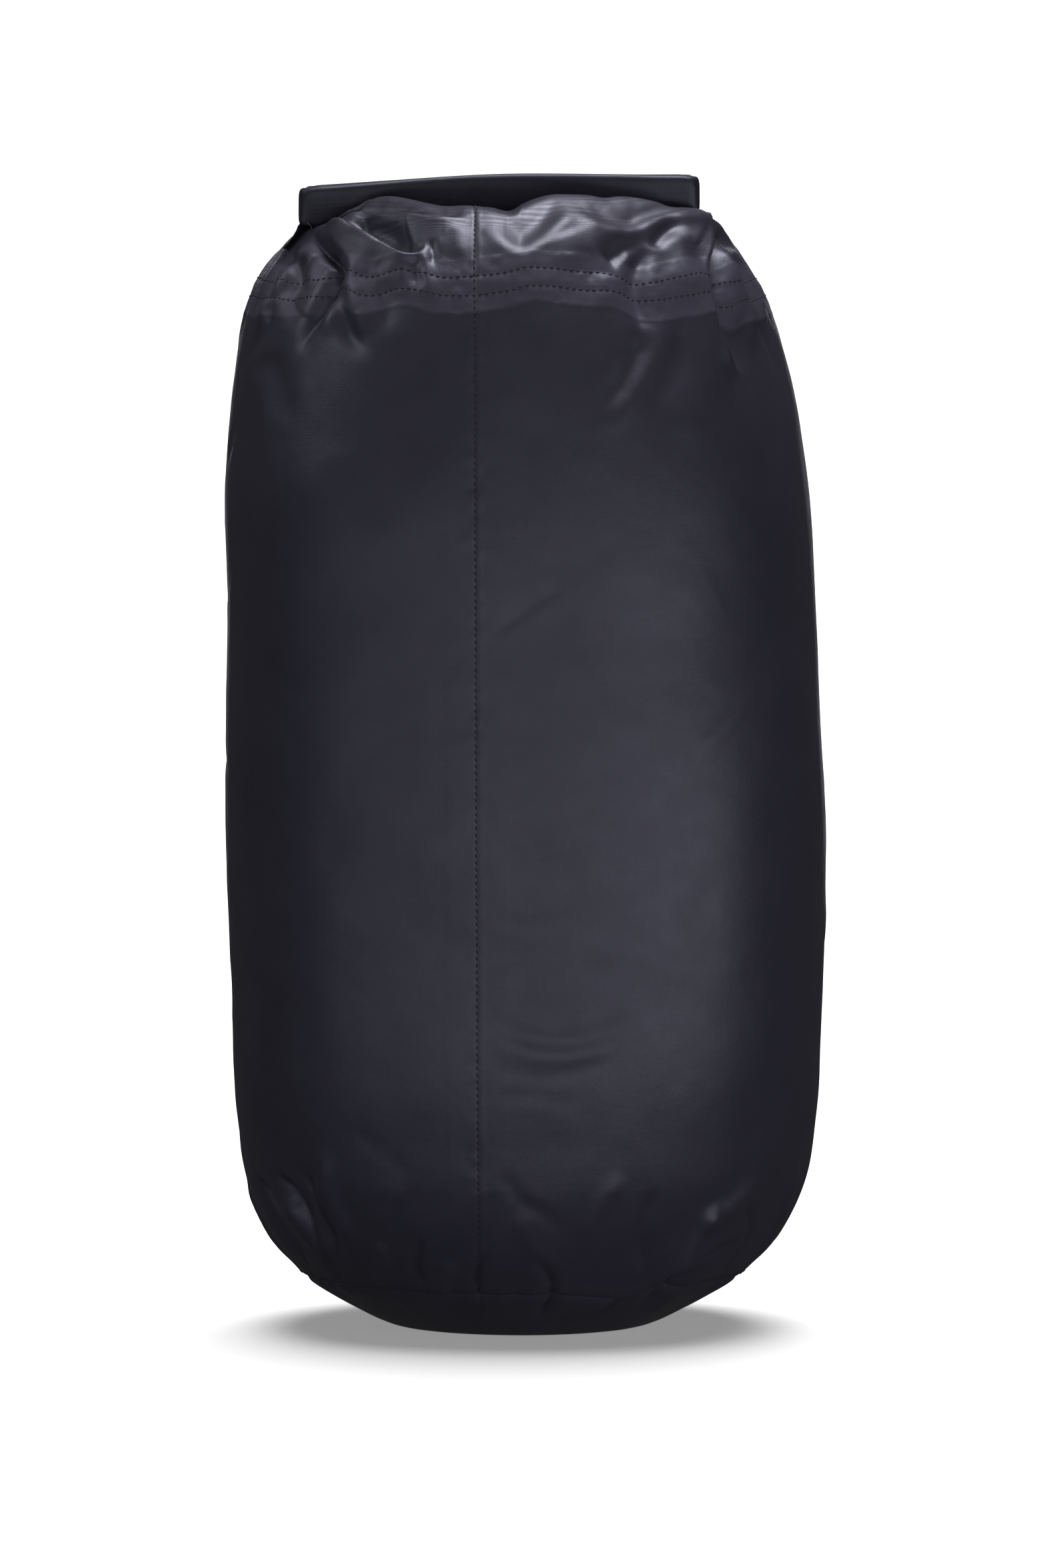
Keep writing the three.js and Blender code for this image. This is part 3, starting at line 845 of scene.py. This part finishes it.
over_dome[..., 2] = np.maximum(collar_height(over_dome[..., 0], over_dome[..., 1]), 390.4)
whole = np.concatenate([below_dome, over_dome])
fade = np.concatenate([smooth(44, 62, base_radii), np.ones(len(tube_rows) + 1), smooth(0, 8, dome_radii)])
settled, outs = settle(whole, fade[:, None])
settled[..., 2] = np.maximum(settled[..., 2], 0)

# the roll's front span presses its own groove, and no gather stands in the arms' way
near_roll = smooth(6.5, 3.5, np.abs(whole[..., 1] - roll_y))
near_roll *= smooth(12, 4, np.abs(whole[..., 0] - loop_x) - 71.5)
near_roll *= whole[..., 2] > 400
ceiling = roll_bottom + 1.4 + droop(whole[..., 0])
settled[..., 2] = mix(settled[..., 2], soft_min(settled[..., 2], ceiling, 1.0), near_roll)
clear_way = smooth(roll_y + 4, roll_y + 8, whole[..., 1]) * (whole[..., 2] > 400)
settled[..., 2] = mix(settled[..., 2], soft_min(settled[..., 2], roll_bottom - 1.2, 1.5), clear_way)

lined_sheen = lined_sheen_share(whole)
count = len(columns)
first_tube, first_collar = len(base_rows), len(base_rows) + len(tube_rows)
cloth_u = np.broadcast_to((columns / (2 * math.pi) * girth)[None, :], whole.shape[:2])
row_steps = np.hypot(np.diff(whole[:, 0, 0]), np.diff(whole[:, 0, 2]))
cloth_v = np.concatenate([[0], np.cumsum(row_steps)])[:, None] + 0 * cloth_u
around_share = np.concatenate([
    base_radii / tube_r(seam_z), np.ones(len(tube_rows) + 1), dome_radii / ring_r,
])[:, None]
cloth = np.stack([cloth_u * around_share, cloth_v], axis=-1)


def panel(name, first, last, pole=None):
    """A panel of the sack from one grid row to another; a pole closes its first or last row with a point."""
    part = settled[first:last]
    rows = last - first
    points = part.reshape(-1, 3)
    uv = cloth[first:last].reshape(-1, 2)
    faces = grid_faces(rows, count).tolist()
    if pole is not None:
        edge = 0 if pole == "first" else rows - 1
        middle = part[edge].mean(axis=0)
        points = np.concatenate([points, [middle]])
        uv = np.concatenate([uv, [uv[edge * count]]])
        hub = len(points) - 1
        for j in range(count):
            tri = [edge * count + j, edge * count + (j + 1) % count, hub]
            faces.append(tri[::-1] if pole == "first" else tri)
    piece = make_piece(name, points, faces, nylon, uv)
    # each point's share of the tape band, which the nylon paints lighter as a painted sheen
    shares = np.zeros(len(points), np.float32)
    shares[: rows * count] = lined_sheen[first:last].ravel()
    piece.data.attributes.new("lined_sheen", "FLOAT", "POINT").data.foreach_set("value", shares)
    return thicken(piece, fabric_thick)


base = panel("base_fabric", 0, first_tube + 1, pole="first")
body = panel("body_fabric", first_tube, first_collar)
collar = panel("collar_fabric", first_collar - 1, len(whole), pole="last")
tube, tube_out = settled[first_tube:first_collar], outs[first_tube:first_collar]
tube_smooth = whole[first_tube:first_collar]
collar_place, collar_out = settled[first_collar:], outs[first_collar:]

# ---- stitches ----
def stitch_template(sides=6, rings=5):
    """One stitch: a short spindle along +X of length 1 and radius 1."""
    points, faces = [], []
    for i in range(rings):
        t = i / (rings - 1)
        radius = math.sin(math.pi * (0.12 + 0.76 * t)) ** 0.5
        for j in range(sides):
            turn = 2 * math.pi * j / sides
            points.append((t - 0.5, radius * math.cos(turn), radius * math.sin(turn)))
    for i in range(rings - 1):
        for j in range(sides):
            k = (j + 1) % sides
            faces.append([i * sides + j, (i + 1) * sides + j, (i + 1) * sides + k, i * sides + k])
    faces.append(list(range(sides)))
    faces.append(list(range(len(points) - 1, len(points) - 1 - sides, -1)))
    return np.array(points), faces


def stitch_piece(name, centres, ways, outs, length=1.9, radius=stitch_radius, slant=0.12):
    """Stitches at the centres, along the ways, each sunk a little into the cloth at its ends."""
    template, faces = stitch_template()
    points, all_faces = [], []
    for i, (centre, way, out) in enumerate(zip(centres, ways, outs)):
        side = np.cross(out, way)
        way = way + side * slant
        way = way / np.linalg.norm(way)
        side = np.cross(out, way)
        local = template * (length, radius, radius)
        dip = -radius * 1.5 * (2 * template[:, 0]) ** 4
        placed = centre + local[:, :1] * way + local[:, 1:2] * side + (local[:, 2:] + dip[:, None]) * out
        points.append(placed)
        all_faces += [[v + i * len(template) for v in face] for face in faces]
    return face_outward(make_piece(name, np.concatenate(points), all_faces, thread))


def walk(line, outs, pitch=stitch_pitch):
    """Evenly spaced centres, directions and normals along a line of points."""
    steps = np.linalg.norm(np.diff(line, axis=0), axis=1)
    total = np.concatenate([[0], np.cumsum(steps)])
    at = np.arange(pitch / 2, total[-1], pitch)
    centres = np.stack([np.interp(at, total, line[:, i]) for i in range(3)], axis=-1)
    n = np.stack([np.interp(at, total, outs[:, i]) for i in range(3)], axis=-1)
    n /= np.linalg.norm(n, axis=1, keepdims=True)
    ways = np.gradient(centres, axis=0)
    ways /= np.linalg.norm(ways, axis=1, keepdims=True)
    return centres + n * stitch_radius * 0.35, ways, n


def row_on(place, outs, row_values, heights):
    """The line on a grid where each column reaches its wanted height."""
    line, normal = [], []
    for j in range(place.shape[1]):
        at = np.interp(heights[j], row_values, np.arange(len(row_values)))
        i = min(int(at), len(row_values) - 2)
        t = at - i
        line.append(mix(place[i, j], place[i + 1, j], t))
        normal.append(mix(outs[i, j], outs[i + 1, j], t))
    line.append(line[0])
    normal.append(normal[0])
    return np.array(line), np.array(normal)


seam_column = int(np.argmin(np.abs(columns - seam_home)))
seam_keep = tube_z > seam_z + 5
body_stitches = stitch_piece(
    "body_seam_stitches", *walk(tube[seam_keep, seam_column], tube_out[seam_keep, seam_column]), slant=0.3,
)
collar_run = collar_place[:, seam_column, 1] < roll_y - roll_thick * 0.8
collar_stitches = stitch_piece(
    "collar_seam_stitches",
    *walk(collar_place[collar_run, seam_column], collar_out[collar_run, seam_column]), slant=0.3,
)
column_u = around(tube_smooth[-1:])[0]
lower_line = row_on(tube, tube_out, tube_z, row_low + row_wave(column_u, 41))
lower_row = stitch_piece("collar_row_lower", *walk(*lower_line))
near_rows = 26
near_ring = np.maximum.accumulate(whole[first_collar : first_collar + near_rows, :, 2], axis=0)
upper_line, upper_out = [], []
for j, height in enumerate(row_high + row_wave(column_u, 42)):
    at = min(np.interp(height, near_ring[:, j], np.arange(near_rows)), near_rows - 1.01)
    i = int(at)
    upper_line.append(mix(collar_place[i, j], collar_place[i + 1, j], at - i))
    upper_out.append(mix(collar_out[i, j], collar_out[i + 1, j], at - i))
upper_row = stitch_piece(
    "collar_row_upper", *walk(np.array([*upper_line, upper_line[0]]), np.array([*upper_out, upper_out[0]])),
)
base_line = row_on(tube, tube_out, tube_z, np.full(count, seam_z + 2.0))
base_row = stitch_piece("base_seam_stitches", *walk(*base_line))


# ---- seam tapes inside ----
def lining(name, place, outs, keep_rows, keep_cols, closed, inward=0.9, thick=0.25):
    """A strip of seam tape stuck to the inside of a panel."""
    part = (place - outs * inward)[keep_rows][:, keep_cols]
    flat = np.zeros((part.shape[0] * part.shape[1], 2))
    flat[:, 0] = np.tile(np.arange(part.shape[1]), part.shape[0])
    flat[:, 1] = np.repeat(np.arange(part.shape[0]), part.shape[1])
    return sheet_piece(name, part, seam_tape, closed, thick, flat)


near_seam = np.abs(off_seam_of(tube_smooth)[len(tube_z) // 2]) < tape_half
body_tape = lining("body_tape", tube, tube_out, (tube_z > 30) & (tube_z < 372), near_seam, False)
all_columns = np.ones(count, bool)
base_tape = lining("base_tape", tube, tube_out, (tube_z > 21) & (tube_z < 33), all_columns, True, 1.3)
low_rows = np.arange(len(collar_place)) < 14
collar_tape = lining("collar_tape", collar_place, collar_out, low_rows, all_columns, True, 1.0)


# ---- the rolled mouth ----
def roll_section(turns=2.6, per_turn=26, sheet=0.5):
    """The rolled fabric's cross-section: the outline of a flattened spiral, as (thickness, height) points."""
    inner = np.array([2.6, 11.6]) / 2
    outer = np.array([roll_thick, roll_height]) / 2
    steps = int(turns * per_turn)
    sides = []
    for side in (0, 1):
        line = []
        for i in range(steps + 1):
            t = i / steps
            phi = -math.pi / 2 + 2 * math.pi * turns * (t - 1)
            half = mix(inner, outer, t) - side * sheet
            power = 0.42
            c, s = math.cos(phi), math.sin(phi)
            line.append((half[0] * np.sign(c) * abs(c) ** power, half[1] * np.sign(s) * abs(s) ** power))
        sides.append(line)
    return np.array(sides[0] + sides[1][::-1])


def loop_path(side, bend=2.6):
    """From the long seam to an arm's end: points and their directions, at the middle of the roll."""
    corner, swivel = arm_of(side)
    start = np.array([seam_x(418.0), roll_y])
    turn = corner[:2] + (side * (0.7 if side < 0 else 0.2), 0)
    end_way = (swivel - corner)[:2] / np.linalg.norm((swivel - corner)[:2])
    end = swivel[:2] - end_way * 5
    into = np.array([side, 0.0])
    a, b = turn - into * bend, turn + end_way * bend
    straight = [mix(start, a, t) for t in np.linspace(0, 1, 34)[:-1]]
    bent = [(1 - t) ** 2 * a + 2 * t * (1 - t) * turn + t * t * b for t in np.linspace(0, 1, 13)]
    arm = [mix(b, end, t) for t in np.linspace(0, 1, 48)[1:]]
    return np.array(straight + bent + arm)


def run_along(line):
    """Directions along a level path, the way out to its left, and the length run at each point."""
    way = np.gradient(line, axis=0)
    way /= np.linalg.norm(way, axis=1, keepdims=True)
    out = np.stack([-way[:, 1], way[:, 0]], axis=-1)
    run = np.concatenate([[0], np.cumsum(np.linalg.norm(np.diff(line, axis=0), axis=1))])
    return out, run


def swept(line, sections, middle_z):
    """A cross-section carried along a level path that hangs and leans with the roll: rows of points."""
    out, _ = run_along(line)
    tilt = np.radians(5 + 12 * smooth(-30, -76, line[:, 0]) + 8 * smooth(30, 58, line[:, 0]))
    tilt = (tilt * np.abs(out[:, 1]) ** 4 * smooth(roll_y + 4, roll_y, line[:, 1]))[:, None]
    tilt *= np.sign(line[-1, 0] - line[0, 0])
    place = np.zeros((len(line), sections.shape[-2], 3))
    sections = np.broadcast_to(sections, (len(line), *sections.shape[-2:]))
    thick = sections[..., 0] * np.cos(tilt) - sections[..., 1] * np.sin(tilt)
    high = sections[..., 1] * np.cos(tilt) + sections[..., 0] * np.sin(tilt)
    place[..., :2] = line[:, None, :] + thick[..., None] * out[:, None, :]
    place[..., 2] = (middle_z + droop(line[:, 0]))[:, None] + high
    return place


def roll_piece(name, side):
    line = loop_path(side)
    _, run = run_along(line)
    swell = 1 + side * 0.03 * np.sin(run * 0.11) + side * 0.02 * np.sin(run * 0.31)
    corner_x = (left_corner if side < 0 else right_corner)[0]
    eased = 1.03 - 0.1 * np.exp(-(((line[:, 0] - corner_x) / 2.2) ** 2)) * (line[:, 1] < roll_y + 5)
    sections = roll_section()[None] * np.stack([swell * side, eased], axis=-1)[:, None, :]
    place = swept(line, sections, roll_mid + 0.25 + side * 0.2 * np.sin(run * 0.07))
    across = place.shape[1]
    u = np.broadcast_to(run[:, None], place.shape[:2])
    v = np.broadcast_to(np.arange(across)[None, :] * 1.6, place.shape[:2])
    uv = np.stack([u, v], axis=-1).reshape(-1, 2)
    faces = grid_faces(len(line), across).tolist()
    last = (len(line) - 1) * across
    points = np.concatenate([place.reshape(-1, 3), place[-1]])
    uv = np.concatenate([uv, uv[last:]])
    start = len(points) - across
    caps = []
    for j in range(across // 2 - 1):
        caps.append([start + j, start + j + 1, start + across - 2 - j, start + across - 1 - j])
    # the roll wears the darker copy of the nylon: painted shade
    return face_outward(make_piece(name, points, faces + caps, shaded_mouth_nylon, uv))


left_roll = roll_piece("left_roll_fabric", -1)
right_roll = roll_piece("right_roll_fabric", 1)


# ---- the stiffener strip inside the roll ----
def strip_piece(name, node, line):
    """A flat strip with eased edges along a level path."""
    low, high = box_of(node)
    half = (high[2] - low[2]) / 2
    ease, thin = 0.25, 0.45
    edge_line = [(-thin, ease - half), (ease - thin, -half), (thin - ease, -half), (thin, ease - half)]
    edge_line += [(-t, -h) for t, h in edge_line]
    place = swept(line, np.array(edge_line), roll_mid + 0.25 + 0 * line[:, 0])
    faces = grid_faces(len(line), 8).tolist()
    last = (len(line) - 1) * 8
    faces += [list(range(8)), list(range(last + 7, last - 1, -1))]
    return face_outward(make_piece(name, place.reshape(-1, 3), faces, strip_plastic))


def arm_run(node, side):
    """The part of an arm's middle line that a node covers."""
    corner, swivel = arm_of(side)
    low, high = box_of(node)
    way = (swivel - corner)[:2]
    shares = np.linspace((low[1] + 1 - corner[1]) / way[1], (high[1] - 1 - corner[1]) / way[1], 24)
    return corner[:2] + shares[:, None] * way


strip_low, strip_high = box_of("stiffener_front")
front_run = np.linspace((strip_low[0], roll_y), (strip_high[0], roll_y), 60)
front_strip = strip_piece("front_strip", "stiffener_front", front_run)
left_strip = strip_piece("left_strip", "stiffener_left", arm_run("stiffener_left", -1))
right_strip = strip_piece("right_strip", "stiffener_right", arm_run("stiffener_right", 1))


# ---- skirts under the arms ----
def arm_skirt(name, side):
    """The gathered fabric that comes up from the collar into an arm's lower edge, on both its sides."""
    corner, swivel = arm_of(side)
    way = (swivel - corner)[:2]
    length = np.hypot(*way)
    way = way / length
    out = np.array([-way[1], way[0]]) * -side
    s = np.linspace(-2, length - 7, 90)
    draw = 131 if side < 0 else 137
    profile = [(1.2, 2.4), (2.6, 1.0), (3.3, -0.6), (4.6, -2.6), (6.4, -4.8), (9.0, -7.4)]
    points, faces, uv = [], [], []
    for flank in (1, -1):
        start = len(points)
        for w, h in profile:
            for i, along in enumerate(s):
                share = along / length
                hang = droop((corner[:2] + way * along)[0])
                ripple = float(lattice(np.array(along + flank * 40.0), np.array(0.0), 7.5, draw))
                ripple *= (2.6 - h) * 0.16
                end = 1 - smooth(length - 16, length - 6, along) * 0.6
                spot = corner[:2] + way * along + out * flank * (w * end + ripple)
                points.append((*spot, roll_bottom + hang + h * (0.75 + 0.25 * end)))
                uv.append((along, h + flank * 20))
        quads = grid_faces(len(profile), len(s), False, start).tolist()
        faces += quads if flank * side > 0 else [quad[::-1] for quad in quads]
    return thicken(make_piece(name, np.array(points), faces, nylon, uv=np.array(uv)), fabric_thick, 0)


left_skirt = arm_skirt("left_arm_skirt", -1)
right_skirt = arm_skirt("right_arm_skirt", 1)


# ---- webbing tabs and their stitching ----
def webbing_tab(name, side):
    """Webbing out of the roll's end, round the buckle's bar and back, sewn to itself inside the roll."""
    node = "left_webbing_tab" if side < 0 else "right_webbing_tab"
    low, high = box_of(node)
    swivel = left_swivel if side < 0 else right_swivel
    y = swivel[1]
    bar_x = high[0] - 2.3 if side < 0 else low[0] + 2.3
    arm_end = swivel[0]
    inward = -side
    line = [(arm_end, y - 0.62), (mix(arm_end, bar_x, 0.6), y - 0.9)]
    for turn in np.linspace(-110, 110, 12):
        angle = math.radians(turn)
        line.append((bar_x + inward * 1.85 * math.cos(angle), y + 1.85 * math.sin(angle)))
    line += [(mix(arm_end, bar_x, 0.6), y + 0.9), (arm_end, y + 0.62)]
    line = np.array(line)
    z = np.linspace(low[2] + 0.2, high[2] - 0.2, 15)
    place = np.zeros((len(z), len(line), 3))
    place[..., :2] = line[None, :, :]
    place[..., 2] = z[:, None]
    steps = np.concatenate([[0], np.cumsum(np.linalg.norm(np.diff(line, axis=0), axis=1))])
    uv = np.stack(np.broadcast_arrays(steps[None, :], z[:, None]), axis=-1).reshape(-1, 2)
    faces = grid_faces(len(z), len(line), False)
    return thicken(make_piece(name, place.reshape(-1, 3), faces, webbing, uv), webbing_thick, 0)


left_tab = webbing_tab("left_webbing", -1)
right_tab = webbing_tab("right_webbing", 1)


def box_stitch(name, side):
    """A sewn square with a cross on an arm's outer face, through the roll and the webbing in it."""
    corner, swivel = arm_of(side)
    way = np.array([*(swivel - corner)[:2], 0.0])
    length = np.linalg.norm(way)
    way /= length
    out = np.array([-way[1], way[0], 0.0]) * -side
    up = np.array([0.0, 0.0, 1.0])
    near, far, half = length - 19, length - 8.5, 4.6
    corners = [(near, -half), (far, -half), (far, half), (near, half), (near, -half), (far, half)]
    centres, ways, outs = [], [], []
    for path in (corners, [(near, half), (far, -half)]):
        for a, b in zip(path[:-1], path[1:]):
            a3, b3 = (corner + way * p[0] + up * p[1] + out * (roll_thick / 2 + 0.15) for p in (a, b))
            span = np.linalg.norm(b3 - a3)
            n = max(2, int(span / 2.0))
            for i in range(n):
                centres.append(mix(a3, b3, (i + 0.5) / n))
                ways.append((b3 - a3) / span)
                outs.append(out)
    return stitch_piece(name, centres, ways, outs, 1.6, 0.25, 0.1)


left_box = box_stitch("left_tab_stitches", -1)
right_box = box_stitch("right_tab_stitches", 1)

# ---- CAD parts that keep their shape: softened edges and a real finish ----
for node, material, edge in (
    ("buckle_female_body", buckle_plastic, 0.55),
    ("buckle_male_base", buckle_plastic, 0.5),
    ("buckle_prong_upper", buckle_plastic, 0.35),
    ("buckle_prong_lower", buckle_plastic, 0.35),
):
    part = frame["nodes"][node]
    part.data.materials.clear()
    part.data.materials.append(material)
    for slot in part.material_slots:
        slot.material = material
    bevel = part.modifiers.new("edge", "BEVEL")
    bevel.width = edge * MM
    bevel.segments = 3
    bevel.limit_method = "ANGLE"
    bevel.angle_limit = math.radians(35)

# ---- what each piece rides on ----
for piece in (body, body_stitches, body_tape):
    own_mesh(piece)
for piece, side in ((left_roll, -1), (right_roll, 1)):
    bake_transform(piece)
for piece, arm in ((left_skirt, "arm_left"), (right_skirt, "arm_right")):
    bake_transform(piece)

# each piece, the body it rides on (none leaves it unattached), its finish, and the nodes it stands for
for piece, rides_on, finish, nodes in (
    (body, "sack", "coated_nylon", ["body_panel"]),
    (base, "sack", "coated_nylon", ["base_panel"]),
    (collar, "crown", "coated_nylon", ["collar_panel"]),
    (left_roll, None, "coated_nylon", ["roll_left", "roll_front"]),
    (right_roll, None, "coated_nylon", ["roll_right", "roll_front"]),
    (left_skirt, None, "coated_nylon", []),
    (right_skirt, None, "coated_nylon", []),
    (body_tape, "sack", "seam_tape", ["body_seam_tape"]),
    (base_tape, "sack", "seam_tape", ["base_seam_tape"]),
    (collar_tape, "crown", "seam_tape", ["collar_seam_tape"]),
    (body_stitches, "sack", "thread", ["body_seam_thread"]),
    (base_row, "sack", "thread", ["base_seam_thread"]),
    (lower_row, "crown", "thread", ["collar_thread_lower"]),
    (upper_row, "crown", "thread", ["collar_thread_upper"]),
    (collar_stitches, "crown", "thread", ["collar_seam_thread"]),
    (left_box, "arm_left", "thread", ["tab_stitching_left"]),
    (right_box, "arm_right", "thread", ["tab_stitching_right"]),
    (left_tab, "buckle_female", "webbing", ["left_webbing_tab"]),
    (right_tab, "buckle_male", "webbing", ["right_webbing_tab"]),
    (front_strip, "crown", "strip_plastic", ["stiffener_front"]),
    (left_strip, "arm_left", "strip_plastic", ["stiffener_left"]),
    (right_strip, "arm_right", "strip_plastic", ["stiffener_right"]),
):
    if rides_on:
        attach(piece, rides_on)
    if nodes:
        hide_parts(*nodes)


# ---- stage, light and camera ----
def floor():
    mesh = bpy.data.meshes.new("floor")
    half = 40.0
    corners = [(-half, -half, 0), (half, -half, 0), (half, half, 0), (-half, half, 0)]
    mesh.from_pydata(corners, [], [(0, 1, 2, 3)])
    m = Nodes("floor")
    m.shader.inputs["Base Color"].default_value = (0.86, 0.86, 0.87, 1)
    m.shader.inputs["Roughness"].default_value = 0.9
    m.shader.inputs["Emission Color"].default_value = (1, 1, 1, 1)
    m.shader.inputs["Emission Strength"].default_value = 0.27
    mesh.materials.append(m.material)
    plane = bpy.data.objects.new("floor", mesh)
    bpy.context.scene.collection.objects.link(plane)
    plane.visible_glossy = False
    plane.visible_diffuse = False
    return plane


def world(strength):
    """White to the camera, and a dim even grey to everything else."""
    sky = bpy.data.worlds.new("studio")
    bpy.context.scene.world = sky
    sky.use_nodes = True
    tree = sky.node_tree
    path = tree.nodes.new("ShaderNodeLightPath")
    pick = tree.nodes.new("ShaderNodeMixShader")
    seen = tree.nodes.new("ShaderNodeBackground")
    seen.inputs["Strength"].default_value = 1.2
    fill = tree.nodes["Background"]
    fill.inputs["Color"].default_value = (1, 1, 1, 1)
    fill.inputs["Strength"].default_value = strength
    seen.inputs["Color"].default_value = (1, 1, 1, 1)
    tree.links.new(path.outputs["Is Camera Ray"], pick.inputs["Fac"])
    tree.links.new(fill.outputs[0], pick.inputs[1])
    tree.links.new(seen.outputs[0], pick.inputs[2])
    tree.links.new(pick.outputs[0], tree.nodes["World Output"].inputs["Surface"])


def area_light(name, place, aim, size, power):
    data = bpy.data.lights.new(name, "AREA")
    data.shape = "RECTANGLE"
    data.size, data.size_y = size
    data.energy = power
    data.color = (0.92, 0.92, 1.0)
    lamp = bpy.data.objects.new(name, data)
    bpy.context.scene.collection.objects.link(lamp)
    lamp.location = place
    way = np.array(aim, float) - np.array(place, float)
    lamp.rotation_mode = "QUATERNION"
    lamp.rotation_quaternion = Vector(way).to_track_quat("-Z", "Y")
    return lamp


def light_group(lamps, thing, state):
    """Keeps some lamps' light off one object, or keeps it to that object."""
    group = bpy.data.collections.new("lights_" + state.lower())
    group.objects.link(thing)
    group.collection_objects[0].light_linking.link_state = state
    for lamp in lamps:
        lamp.light_linking.receiver_collection = group


def sun_light(name, way, strength, angle):
    data = bpy.data.lights.new(name, "SUN")
    data.energy = strength
    data.angle = math.radians(angle)
    lamp = bpy.data.objects.new(name, data)
    bpy.context.scene.collection.objects.link(lamp)
    lamp.rotation_mode = "QUATERNION"
    lamp.rotation_quaternion = Vector(way).to_track_quat("-Z", "Y")
    return lamp


def camera():
    data = bpy.data.cameras.new("camera")
    data.sensor_width = 36
    data.lens = 195.8
    data.clip_end = 200
    eye = bpy.data.objects.new("camera", data)
    bpy.context.scene.collection.objects.link(eye)
    away, eye_height, aim_height = 3.2, 0.36, 0.2031
    eye.location = (-0.001, -away, eye_height)
    eye.rotation_euler = (math.radians(90) - math.atan2(eye_height - aim_height, away), 0, 0)
    bpy.context.scene.camera = eye


ground = floor()
world(0.05)
softboxes = [
    area_light("top_softbox", (0.12, 0.05, 1.4), (0, -0.05, 0.4), (0.5, 0.4), 16),
    area_light("left_softbox", (-1.3, -0.1, 1.25), (0, 0, 0.4), (0.5, 0.6), 5),
    area_light("front_softbox", (0.05, -2.9, 0.2), (0, 0, 0.16), (3.2, 1.3), 11.2),
    area_light("front_left_softbox", (-2.3, -1.75, 0.15), (0, 0, 0.15), (1.3, 1.3), 0.6),
    area_light("front_right_softbox", (2.3, -1.75, 0.15), (0, 0, 0.15), (1.3, 1.3), 2),
    area_light("low_softbox", (0.1, -1.4, 0.06), (0, 0, 0.03), (1.6, 0.12), 4),
    area_light("low_left_softbox", (-1.0, -0.9, 0.08), (0, 0, 0.03), (0.9, 0.14), 1.7),
    area_light("low_right_softbox", (1.05, -0.9, 0.08), (0, 0, 0.05), (1.1, 0.14), 5),
    area_light("back_softbox", (0, 2.8, 0.6), (0, 0, 0.2), (1.3, 1.2), 12),
]
floor_lights = [
    sun_light("overhead", (-0.06, -0.12, -1), 2.2, 54),
    sun_light("behind", (-0.05, -0.3, -1), 1.9, 44),
    sun_light("far_behind", (0.0, -0.6, -1), 0.8, 34),
]
light_group(softboxes, ground, "EXCLUDE")
light_group(floor_lights, ground, "INCLUDE")
camera()
bpy.context.scene.view_settings.view_transform = "Standard"
